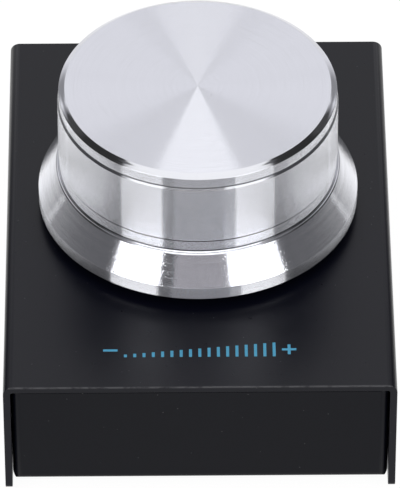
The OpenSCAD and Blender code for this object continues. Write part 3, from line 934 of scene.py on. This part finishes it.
def settled(piece: bpy.types.Object) -> bpy.types.Object:
    """Turns an object's modifiers into a plain mesh, with its faces outwards.

    Args:
        piece: The object, whose modifiers are removed.

    Returns:
        The same object.
    """
    graph = bpy.context.evaluated_depsgraph_get()
    mesh = bpy.data.meshes.new_from_object(piece.evaluated_get(graph))
    piece.modifiers.clear()
    old, piece.data = piece.data, mesh
    bpy.data.meshes.remove(old)
    mesh.name = piece.name
    net = bmesh.new()
    net.from_mesh(mesh)
    bmesh.ops.remove_doubles(net, verts=net.verts, dist=SAME_POINT)
    bmesh.ops.recalc_face_normals(net, faces=net.faces)
    net.to_mesh(mesh)
    net.free()
    return piece


def merged_copy(node: str, name: str) -> bpy.types.Object:
    """Copies a CAD node's mesh, merges its loose triangles and joins the flat ones.

    Args:
        node: The CAD node.
        name: Name of the new piece.

    Returns:
        The new object.
    """
    net = bmesh.new()
    net.from_mesh(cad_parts[node].data)
    bmesh.ops.remove_doubles(net, verts=net.verts, dist=CAD_SAME_POINT)
    flat = math.radians(CAD_FLAT_DEG)
    bmesh.ops.dissolve_limit(net, angle_limit=flat, verts=net.verts, edges=net.edges)
    mesh = bpy.data.meshes.new(name)
    net.to_mesh(mesh)
    net.free()
    mesh.validate()
    made = bpy.data.objects.new(name, mesh)
    bpy.context.scene.collection.objects.link(made)
    return made


# ---------------------------------------------------------------- sub-assemblies


@dataclass
class Case:
    """The cover and the tray, whose sheet edges are rounded by the coat."""

    finishes: Finishes
    edge_mm: float = 0.42
    edge_steps: int = 4
    sharp_deg: float = 35.0

    def build(self) -> None:
        """Makes both folded sheets."""
        self.sheet("cover_sheet", "top_cover", "cover_coat")
        self.sheet("tray_sheet", "bottom_tray", "tray_coat")

    def sheet(self, name: str, node: str, finish: str) -> None:
        """Makes one folded sheet with round edges.

        Args:
            name: Name of the piece.
            node: The CAD node that it stands for.
            finish: Its finish and material slot.
        """
        piece = merged_copy(node, name)
        piece.data.materials.append(self.finishes.get(finish))
        bevel = piece.modifiers.new("coat", "BEVEL")
        bevel.width = self.edge_mm * MM
        bevel.segments = self.edge_steps
        bevel.limit_method = "ANGLE"
        bevel.angle_limit = math.radians(self.sharp_deg)
        bevel.miter_outer = "MITER_ARC"
        bevel.harden_normals = True
        graph = bpy.context.evaluated_depsgraph_get()
        mesh = bpy.data.meshes.new_from_object(piece.evaluated_get(graph))
        piece.modifiers.clear()
        piece.data = mesh
        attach(piece, "enclosure")
        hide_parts(node)
        LOG.info("%s: %d faces", name, len(mesh.polygons))


@dataclass
class Dial:
    """The turned dial, from its top face round to the bore."""

    finishes: Finishes
    foot_z: float = 24.2
    height: float = 22.0
    barrel_r: float = 21.75
    rim_r: float = 24.95
    rim_h: float = 2.2
    flare_top: float = 6.7
    lip_top: float = 7.1
    low_groove_top: float = 9.15
    groove_top: float = 19.775
    groove_w: float = 0.25
    groove_depth: float = 0.3
    groove_side: float = 0.22
    groove_slope: float = 0.3
    fine_w: float = 0.2
    fine_depth: float = 0.25
    undercut_w: float = 0.08
    undercut_depth: float = 0.16
    band_step: float = 0.2
    foot_step: float = 0.1
    chamfer_w: float = 0.95
    chamfer_h: float = 0.6
    land_w: float = 0.4
    rim_edge: float = 0.15
    rim_ring_w: float = 2.5
    relief_h: float = 0.8
    pocket_r: float = 9.0
    pocket_top: float = 5.3
    bore_r: float = 3.05
    bore_top: float = 17.6
    hole_r: float = 1.8
    hole_z: float = 35.5
    hole_slack: float = 0.01
    hole_wall_lean: float = 0.2
    hole_segments: int = 48
    drill_y: float = 14.0
    drill_len: float = 20.0
    segments: int = 360

    def outline(self) -> list[Corner]:
        """Corners of the dial's section, from the middle of the top face to the end of the bore.

        Returns:
            The corners, in millimetres above the foot.
        """
        top, barrel, band = self.height, self.barrel_r, self.barrel_r - self.band_step
        foot = barrel - self.foot_step
        groove_foot = self.groove_top - self.groove_w
        low_foot = self.low_groove_top - self.fine_w
        cut_top = self.lip_top + self.undercut_w
        ring_r = self.rim_r - self.rim_ring_w
        return [
            Corner(0, top),
            Corner(band - self.chamfer_w, top, 0.05),
            Corner(band, top - self.chamfer_h, 0.06),
            Corner(band, self.groove_top, 0.05),
            Corner(barrel - self.groove_depth, self.groove_top, 0.03),
            Corner(barrel - self.groove_depth, groove_foot, 0.03),
            Corner(barrel - self.groove_side, groove_foot, 0.02),
            Corner(barrel, groove_foot - self.groove_slope, 0.04),
            Corner(barrel, self.low_groove_top, 0.05),
            Corner(barrel - self.fine_depth, self.low_groove_top, 0.02),
            Corner(barrel - self.fine_depth, low_foot, 0.02),
            Corner(foot, low_foot, 0.04),
            Corner(foot, cut_top, 0.04),
            Corner(foot - self.undercut_depth, cut_top, 0.02),
            Corner(foot - self.undercut_depth, self.lip_top, 0.02),
            Corner(barrel, self.lip_top, 0.03),
            Corner(barrel + self.land_w, self.flare_top, 0.04),
            Corner(self.rim_r, self.rim_h, 0.08),
            Corner(self.rim_r, self.rim_edge, 0.05),
            Corner(self.rim_r - self.rim_edge, 0, 0.05),
            Corner(ring_r, 0, 0.05),
            Corner(ring_r, self.relief_h, 0.05),
            Corner(self.pocket_r, self.relief_h, 0.1),
            Corner(self.pocket_r, self.pocket_top, 0.1),
            Corner(self.bore_r, self.pocket_top, 0.1),
            Corner(self.bore_r, self.bore_top, 0.05),
            Corner(0, self.bore_top),
        ]

    def build(self) -> None:
        """Turns the dial, drills the set screw's hole and sets its exact normals."""
        outline = rounded_outline(self.outline())
        piece = helper_object("turned_dial", [point for point, _ in outline], Link.LINE)
        material = self.finishes.get("turned_aluminium")
        axis = (0.0, AXIS_Y_MM * MM, self.foot_z * MM)
        turning_recipe().add_to(piece, material, {"Segments": self.segments, "Axis": axis})
        settled(piece)
        self.drill(piece)
        self.set_normals(piece, outline)
        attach(piece, "dial")
        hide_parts("dial")
        LOG.info("turned_dial: %d faces", len(piece.data.polygons))

    def drill(self, piece: bpy.types.Object) -> None:
        """Cuts the hole through which the set screw is reached, in the dial's back.

        Args:
            piece: The turned dial.
        """
        net = bmesh.new()
        radius, length = self.hole_r * MM, self.drill_len * MM
        bmesh.ops.create_cone(
            net, cap_ends=True, segments=self.hole_segments, radius1=radius, radius2=radius, depth=length
        )
        place = Matrix.Translation((0, (AXIS_Y_MM + self.drill_y) * MM, self.hole_z * MM))
        bmesh.ops.transform(net, matrix=place @ Matrix.Rotation(math.pi / 2, 4, "X"), verts=net.verts)
        mesh = bpy.data.meshes.new("drill")
        net.to_mesh(mesh)
        net.free()
        drill = bpy.data.objects.new("drill", mesh)
        bpy.context.scene.collection.objects.link(drill)
        cut = piece.modifiers.new("drill", "BOOLEAN")
        cut.object = drill
        cut.solver = "EXACT"
        settled(piece)
        bpy.data.objects.remove(drill)

    def set_normals(self, piece: bpy.types.Object, outline: list[tuple[Vector, Vector]]) -> None:
        """Gives the turned faces the normals of the true outline, so that reflections stay clean.

        Args:
            piece: The drilled dial.
            outline: Points and normals of the outline.
        """
        mesh = piece.data
        mesh.shade_smooth()
        tree = KDTree(len(outline))
        for i, (point, _) in enumerate(outline):
            tree.insert(point, i)
        tree.balance()
        axis = Vector((0, AXIS_Y_MM * MM, self.foot_z * MM))
        reach = (self.hole_r + self.hole_slack) * MM
        normals: list[Vector] = [Vector((0, 0, 1))] * len(mesh.loops)
        for face in mesh.polygons:
            flat = face.normal
            middle = face.center
            aside = math.hypot(middle.x, middle.z - self.hole_z * MM)
            drilled = aside < reach and middle.y > 0 and abs(flat.y) < self.hole_wall_lean
            for loop_index in face.loop_indices:
                at = mesh.vertices[mesh.loops[loop_index].vertex_index].co - axis
                r = math.hypot(at.x, at.y)
                if drilled:
                    normals[loop_index] = Vector((-at.x, 0, self.hole_z * MM - at.z - axis.z)).normalized()
                    continue
                _, i, _ = tree.find(Vector((r, 0, at.z)))
                side, up = outline[i][1].x, outline[i][1].z
                if r < SAME_POINT:
                    normals[loop_index] = Vector((0, 0, math.copysign(1, up)))
                    continue
                normals[loop_index] = Vector((side * at.x / r, side * at.y / r, up))
        mesh.normals_split_custom_set(normals)


@dataclass(frozen=True)
class TurnedSet:
    """Equal turned pieces, such as feet or cross-head screws, at several places."""

    name: str
    node: str
    finish: str
    corners: tuple[Corner, ...]
    places: tuple[tuple[float, float, float], ...]
    turns: tuple[tuple[float, float, float], ...]
    cross: tuple[float, float, float] | None = None
    segments: int = 48
    sharp_deg: float = 38.0

    def build(self, finishes: Finishes, recipes: dict[Head, Recipe]) -> None:
        """Makes the set as one piece in place of its CAD node.

        Args:
            finishes: Where its finish comes from.
            recipes: The recipes of such sets.
        """
        outline = rounded_outline(list(self.corners), 4)
        piece = helper_object(self.name, [point for point, _ in outline], Link.LINE)
        spots = [Vector(place) * MM for place in self.places]
        turns = [tuple(math.radians(v) for v in turn) for turn in self.turns]
        helper = helper_object("places", spots, Link.LOOSE, turns)
        values = {"Segments": self.segments, "Places": helper}
        head = Head.CROSS if self.cross else Head.PLAIN
        if self.cross:
            names = ("Top", "Cross length", "Cross width", "Depth")
            values |= {name: v * MM for name, v in zip(names, (self.corners[0].z, *self.cross))}
        recipes[head].add_to(piece, finishes.get(self.finish), values)
        settled(piece)
        bpy.data.objects.remove(helper)
        piece.data.shade_smooth()
        piece.data.set_sharp_from_angle(angle=math.radians(self.sharp_deg))
        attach(piece, "enclosure")
        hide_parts(self.node)
        LOG.info("%s: %d faces", self.name, len(piece.data.polygons))


@dataclass
class Fixings:
    """The feet and the screws, whose crosses are given as length, width and depth."""

    finishes: Finishes
    foot_at: tuple[float, float] = (19.8, 31.7)
    foot_r: float = 4.0
    foot_h: float = 3.0
    flange_x: float = 30.0
    cover_screw_at: tuple[float, float] = (30.0, 12.0)
    sunk_head_r: float = 2.2
    sunk_cross: tuple[float, float, float] = (2.6, 0.62, 0.7)
    thread_r: float = 1.25
    cover_screw_len: float = 6.0
    post_x: float = 18.0
    post_ys: tuple[float, float] = (-16.0, 23.9)
    pan_head_r: float = 2.3
    pan_head_h: float = 1.4
    pan_cross: tuple[float, float, float] = (2.3, 0.58, 0.84)
    board_top: float = 14.5
    board_screw_len: float = 5.25
    floor_screw_len: float = 4.75

    def build(self) -> None:
        """Makes the feet, the cover screws, the board screws and the floor screws."""
        recipes = {head: set_recipe(head) for head in Head}
        for pieces in (self.feet(), self.cover_screws(), self.floor_screws(), self.board_screws()):
            pieces.build(self.finishes, recipes)

    def feet(self) -> TurnedSet:
        """Rubber feet with a round lower edge and a dimple, hung from the tray.

        Returns:
            The set.
        """
        r, h = self.foot_r, self.foot_h
        x, y = self.foot_at
        corners = (
            Corner(0, h), Corner(r, h), Corner(r, 0, 0.6), Corner(r * 0.45, 0, 0.25),
            Corner(r * 0.38, 0.5, 0.2), Corner(0, 0.5),
        )
        places = tuple((sx * x, sy * y, 0.0) for sx in (-1, 1) for sy in (-1, 1))
        return TurnedSet("moulded_feet", "rubber_feet", "rubber", corners, places, ((0, 0, 0),) * 4)

    def cover_screws(self) -> TurnedSet:
        """Countersunk screws in the flanges.

        Returns:
            The set.
        """
        head, thread, length = self.sunk_head_r, self.thread_r, self.cover_screw_len
        y, z = self.cover_screw_at
        corners = (
            Corner(0, 0), Corner(head, 0, 0.12), Corner(thread, thread - head, 0.1),
            Corner(thread, -length, 0.2), Corner(0, -length),
        )
        sides = [(sx, sy) for sx in (-1, 1) for sy in (-1, 1)]
        places = tuple((sx * self.flange_x, sy * y, z) for sx, sy in sides)
        turns = tuple((0.0, 90.0 * sx, 0.0) for sx, _ in sides)
        return TurnedSet(
            "sunk_screws", "cover_screws", "black_steel", corners, places, turns, self.sunk_cross
        )

    def pan_screws(
        self, name: str, node: str, finish: str, z: float, length: float, flip: float
    ) -> TurnedSet:
        """Pan-head screws at the four posts.

        Args:
            name: Name of the piece.
            node: The CAD node that it stands for.
            finish: Its finish.
            z: Height of the face that the heads sit on.
            length: Length under the head.
            flip: Turn about the X axis, in degrees.

        Returns:
            The set.
        """
        head, top, thread = self.pan_head_r, self.pan_head_h, self.thread_r
        corners = (
            Corner(0, top), Corner(head * 0.86, top, 0.7), Corner(head, 0, 0.06), Corner(thread, 0, 0.05),
            Corner(thread, -length, 0.2), Corner(0, -length),
        )
        places = tuple((sx * self.post_x, y, z) for sx in (-1, 1) for y in self.post_ys)
        return TurnedSet(name, node, finish, corners, places, ((flip, 0, 0),) * 4, self.pan_cross)

    def floor_screws(self) -> TurnedSet:
        """Screws that hold the posts from below."""
        length = self.floor_screw_len
        return self.pan_screws("tray_screws", "floor_screws", "black_steel", self.foot_h, length, 180)

    def board_screws(self) -> TurnedSet:
        """Screws that hold the board on the posts."""
        length = self.board_screw_len
        return self.pan_screws("post_screws", "board_screws", "plated_steel", self.board_top, length, 0)


@dataclass
class ClickDome:
    """The click switch's metal dome, which flattens under the plunger."""

    finishes: Finishes
    joint: str = "switch_press"
    kept_height: float = 0.3
    sharp_deg: float = 40.0

    def build(self) -> None:
        """Makes the dome as a piece with a mesh of its own."""
        piece = merged_copy("switch_dome", "click_dome")
        piece.data.materials.append(self.finishes.get("spring_steel"))
        piece.data.shade_smooth()
        piece.data.set_sharp_from_angle(angle=math.radians(self.sharp_deg))
        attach(piece, "enclosure")
        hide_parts("switch_dome")
        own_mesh(piece)
        LOG.info("click_dome: %d faces", len(piece.data.polygons))


@dataclass
class VolumeScale:
    """A plain printed scale of bars in front of the dial."""

    finishes: Finishes
    place: tuple[float, float, float] = (0.0, -34.2, 22.6)
    bars: int = 17
    pitch: float = 1.42
    stroke: float = 0.46
    first_h: float = 0.6
    last_h: float = 3.1
    thickness: float = 0.02
    sign_size: float = 2.2
    sign_gap: float = 2.3

    def build(self) -> None:
        """Prints the scale on the cover."""
        piece = helper_object("printed_scale", [Vector()], Link.LOOSE)
        sizes = {
            "Pitch": self.pitch, "Stroke": self.stroke, "First height": self.first_h,
            "Last height": self.last_h, "Thickness": self.thickness, "Sign size": self.sign_size,
            "Sign gap": self.sign_gap,
        }
        values = {name: value * MM for name, value in sizes.items()}
        values |= {"Bars": self.bars, "Place": tuple(v * MM for v in self.place)}
        scale_recipe().add_to(piece, self.finishes.get("scale_ink"), values)
        settled(piece)
        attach(piece, "enclosure")
        LOG.info("printed_scale: %d faces", len(piece.data.polygons))


# ---------------------------------------------------------------- studio


@dataclass(frozen=True)
class PhotoView:
    """Where the photograph was taken from."""

    target_z_mm: float = 22.6
    distance_mm: float = 983.646
    elevation_deg: float = 41.473
    azimuth_deg: float = -0.363
    roll_deg: float = -0.123
    aside_mm: float = 0.278
    up_mm: float = -5.435
    lens_mm: float = 463.04

    def build(self) -> None:
        """Adds the camera."""
        az, el, roll = (math.radians(v) for v in (self.azimuth_deg, self.elevation_deg, self.roll_deg))
        ahead = Vector((-math.sin(az) * math.cos(el), math.cos(az) * math.cos(el), -math.sin(el)))
        right = ahead.cross(Vector((0, 0, 1))).normalized()
        up = right.cross(ahead)
        place = Vector((0, 0, self.target_z_mm)) - ahead * self.distance_mm
        place += right * self.aside_mm + up * self.up_mm
        across = right * math.cos(roll) + up * math.sin(roll)
        top = up * math.cos(roll) - right * math.sin(roll)
        data = bpy.data.cameras.new("photo_view")
        data.lens = self.lens_mm
        data.clip_end = 20
        camera = bpy.data.objects.new("photo_view", data)
        columns = Matrix((across, top, -ahead)).transposed().to_4x4()
        camera.matrix_world = Matrix.Translation(place * MM) @ columns
        bpy.context.scene.collection.objects.link(camera)
        bpy.context.scene.camera = camera


@dataclass(frozen=True)
class Softbox:
    """A bright or dark patch of the studio, seen from the object.

    The azimuth is measured from the front, with the object's right side as its positive side.
    """

    azimuth: tuple[float, float]
    elevation: tuple[float, float]
    soft_deg: float
    light: Colour
    both_sides: bool = False


@dataclass(frozen=True)
class CeilingPanel:
    """A bright panel overhead, in steps of its own height: across, and from front to back."""

    half: float
    front: float
    back: float
    soft: float
    light: Colour


@dataclass
class Studio:
    """Soft surroundings, a white floor and the light that both give.

    Light that is seen over two mirrors is dimmed from high up and lifted from low down. The heights are those
    of a direction, from 0 at the horizon to 1 overhead.
    """

    base: Colour = (0.27, 0.27, 0.28)
    boxes: tuple[Softbox, ...] = (
        Softbox((-5, 28), (-90, 17), 2, (0.55, 0.55, 0.59), True),
        Softbox((-5, 28), (17, 75), 2, (0.24, 0.225, 0.235), True),
        Softbox((-58, -26.5), (-90, 17), 1.5, (2.65, 2.65, 2.65)),
        Softbox((27, 57), (-90, 17), 1.5, (2.65, 2.65, 2.65)),
        Softbox((-56, -25.8), (17, 55), 1.5, (2.3, 2.3, 2.3)),
        Softbox((-25.8, -16.5), (17, 55), 1.5, (0.03, 0.03, 0.03)),
        Softbox((-26.0, -18.0), (-90, 17), 1.5, (0.2, 0.2, 0.215)),
        Softbox((20.5, 54.5), (17, 55), 1.5, (2.3, 2.3, 2.3)),
        Softbox((60, 116), (-90, 62), 3, (0.12, 0.12, 0.126), True),
        Softbox((83, 128), (26, 60), 4, (0.03, 0.03, 0.03), True),
        Softbox((112, 128), (-90, 40), 5, (0.06, 0.06, 0.06), True),
        Softbox((133, 185), (22, 82), 6, (0.8, 0.8, 0.83), True),
        Softbox((150, 185), (-90, 24), 12, (0.8, 0.8, 0.83), True),
    )
    panels: tuple[CeilingPanel, ...] = (
        CeilingPanel(0.59, -1.15, -0.66, 0.05, (2.4, 2.4, 2.4)),
        CeilingPanel(0.59, -0.7, -0.02, 0.05, (1.0, 1.0, 1.0)),
        CeilingPanel(0.2, -0.05, 0.3, 0.06, (1.6, 1.6, 1.6)),
    )
    second_dim: float = 0.95
    second_lift: float = 0.5
    second_depth: float = 2.5
    second_high: tuple[float, float] = (0.72, 0.86)
    second_low: tuple[float, float] = (0.8, 0.66)
    uneven: float = 0.12
    uneven_per_deg: float = 0.22
    seen_glow: float = 1.1
    seen_floor: float = 0.86
    floor_half_m: float = 4.0
    mirrored_near: tuple[tuple[float, float], ...] = ((45, 0.72), (75, 1.3), (128, 1.3), (150, 0.8))
    mirrored_far: tuple[tuple[float, float], ...] = (
        (45, 0.8), (62, 0.37), (110, 0.37), (111, 1.0), (112.5, 1.0), (113.5, 0.47), (140, 0.5), (170, 0.95),
    )
    near_mm: tuple[float, float] = (90, 180)

    def build(self) -> None:
        """Adds the surroundings and the floor."""
        self.surroundings()
        self.floor()

    def surroundings(self) -> None:
        """Writes the light that comes from each direction into the world."""
        world = bpy.data.worlds.new("studio")
        bpy.context.scene.world = world
        world.use_nodes = True
        g = Graph(world.node_tree)
        x, y, z = g.separate(g.out(g.node("ShaderNodeTexCoord"), "Generated"))
        azimuth = g.math("ARCTAN2", x, 0 - y) * (180 / math.pi)
        elevation = g.math("ARCSINE", z) * (180 / math.pi)
        light = g.mix(0.0, self.base, self.base)
        for box in self.boxes:
            mask = self.band(g, abs(azimuth) if box.both_sides else azimuth, box.azimuth, box.soft_deg)
            mask = mask * self.band(g, elevation, box.elevation, box.soft_deg)
            light = g.mix(mask, light, box.light)
        height = g.math("MAXIMUM", z, 0.001)
        for panel in self.panels:
            mask = self.band(g, x / height, (-panel.half, panel.half), panel.soft)
            mask = mask * self.band(g, y / height, (panel.front, panel.back), panel.soft)
            light = g.mix(mask, light, panel.light)
        inputs = {"W": azimuth, "Scale": self.uneven_per_deg}
        ripple = g.out(g.node("ShaderNodeTexNoise", {"noise_dimensions": "1D"}, inputs), 0)
        mirrors = g.out(g.node("ShaderNodeLightPath"), "Ray Depth")
        dimmed = g.step(z, *self.second_high) * self.second_dim
        change = dimmed - g.step(z, *self.second_low) * self.second_lift
        second = 1 - (mirrors > self.second_depth) * change
        strength = second * (1 - self.uneven / 2 + ripple * self.uneven)
        shade = g.node("ShaderNodeBackground", None, {"Color": light, "Strength": strength})
        g.node("ShaderNodeOutputWorld", None, {"Surface": g.out(shade)})

    @staticmethod
    def band(g: Graph, value: Wire, limits: tuple[float, float], soft: float) -> Wire:
        """1 between two limits, with soft ends."""
        low, high = limits
        return g.step(value, low - soft / 2, low + soft / 2) * g.step(value, high + soft / 2, high - soft / 2)

    @staticmethod
    def ramp(g: Graph, azimuth: Wire, levels: tuple[tuple[float, float], ...]) -> Wire:
        """Level by azimuth, from pairs of an angle and a level, in order."""
        stops = [(angle / 180, (level,) * 3) for angle, level in levels]
        return g.out(g.node("ShaderNodeValToRGB", {"stops": stops}, {0: azimuth / 180}))

    def floor(self) -> None:
        """Adds the white floor, which keeps the object's shadow."""
        net = bmesh.new()
        bmesh.ops.create_grid(net, x_segments=1, y_segments=1, size=self.floor_half_m)
        mesh = bpy.data.meshes.new("floor")
        net.to_mesh(mesh)
        net.free()
        floor = bpy.data.objects.new("floor", mesh)
        bpy.context.scene.collection.objects.link(floor)
        s = Shader("floor_white")
        x, y, _ = s.separate(s.place)
        azimuth = abs(s.math("ARCTAN2", x, 0 - y)) * (180 / math.pi)
        near, far = (self.ramp(s, azimuth, levels) for levels in (self.mirrored_near, self.mirrored_far))
        radius = s.math("SQRT", x * x + y * y)
        away = s.step(radius, *(limit * MM for limit in self.near_mm))
        mirror = s.out(s.node("ShaderNodeMix", None, {"Factor": away, 2: near, 3: far}))
        rays = s.node("ShaderNodeLightPath")
        seen = s.out(rays, "Is Camera Ray")
        mirrored = s.math("MAXIMUM", s.out(rays, "Is Glossy Ray"), s.out(rays, "Is Transmission Ray"))
        strength = seen * self.seen_glow + mirrored * mirror
        diffuse = s.out(s.node("ShaderNodeBsdfDiffuse", None, {"Color": (0.8, 0.8, 0.8, 1)}))
        glow = s.out(s.node("ShaderNodeEmission", None, {"Color": (1, 1, 1, 1), "Strength": strength}))
        share = seen * self.seen_floor + mirrored
        both = s.out(s.node("ShaderNodeMixShader", None, {0: share, 1: diffuse, 2: glow}))
        s.node("ShaderNodeOutputMaterial", None, {"Surface": both})
        mesh.materials.append(s.material)


# ---------------------------------------------------------------- assembly


NODE_FINISH = {
    "clinch_nuts": "plated_steel",
    "circuit_board": "board",
    "board_posts": "brass",
    "socket_shell": "plated_steel",
    "socket_tongue": "black_plastic",
    "socket_contacts": "gold_contact",
    "controller_chip": "chip_plastic",
    "chip_leads": "tinned_copper",
    "crystal": "can_aluminium",
    "bulk_capacitor": "can_aluminium",
    "capacitor_base": "black_plastic",
    "chip_capacitors": "ceramic_tan",
    "chip_resistors": "chip_plastic",
    "encoder_frame": "plated_steel",
    "encoder_bushing": "cast_zinc",
    "encoder_base": "black_plastic",
    "encoder_terminals": "tinned_copper",
    "encoder_brushes": "gold_contact",
    "detent_spring": "spring_steel",
    "switch_housing": "black_plastic",
    "mounting_washer": "plated_steel",
    "mounting_nut": "plated_steel",
    "encoder_rotor": "white_plastic",
    "code_disc": "gold_contact",
    "encoder_shaft": "shaft_steel",
    "retaining_clip": "spring_steel",
    "dial_set_screw": "black_steel",
    "switch_plunger": "white_plastic",
}


def dress_nodes(finishes: Finishes) -> None:
    """Gives each CAD node that stays its finish.

    Args:
        finishes: Where the finishes come from.
    """
    for node, finish in NODE_FINISH.items():
        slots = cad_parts[node].data.materials
        slots.clear()
        slots.append(finishes.get(finish))


def main() -> None:
    """Builds the sub-assemblies and the studio in order."""
    logging.basicConfig(level=logging.INFO, format="%(name)s: %(message)s")
    scene = bpy.context.scene
    scene.view_settings.view_transform = "Standard"
    finishes = Finishes()
    dress_nodes(finishes)
    Case(finishes).build()
    Dial(finishes).build()
    Fixings(finishes).build()
    ClickDome(finishes).build()
    VolumeScale(finishes).build()
    PhotoView().build()
    Studio().build()


if __name__ == "__main__":
    main()
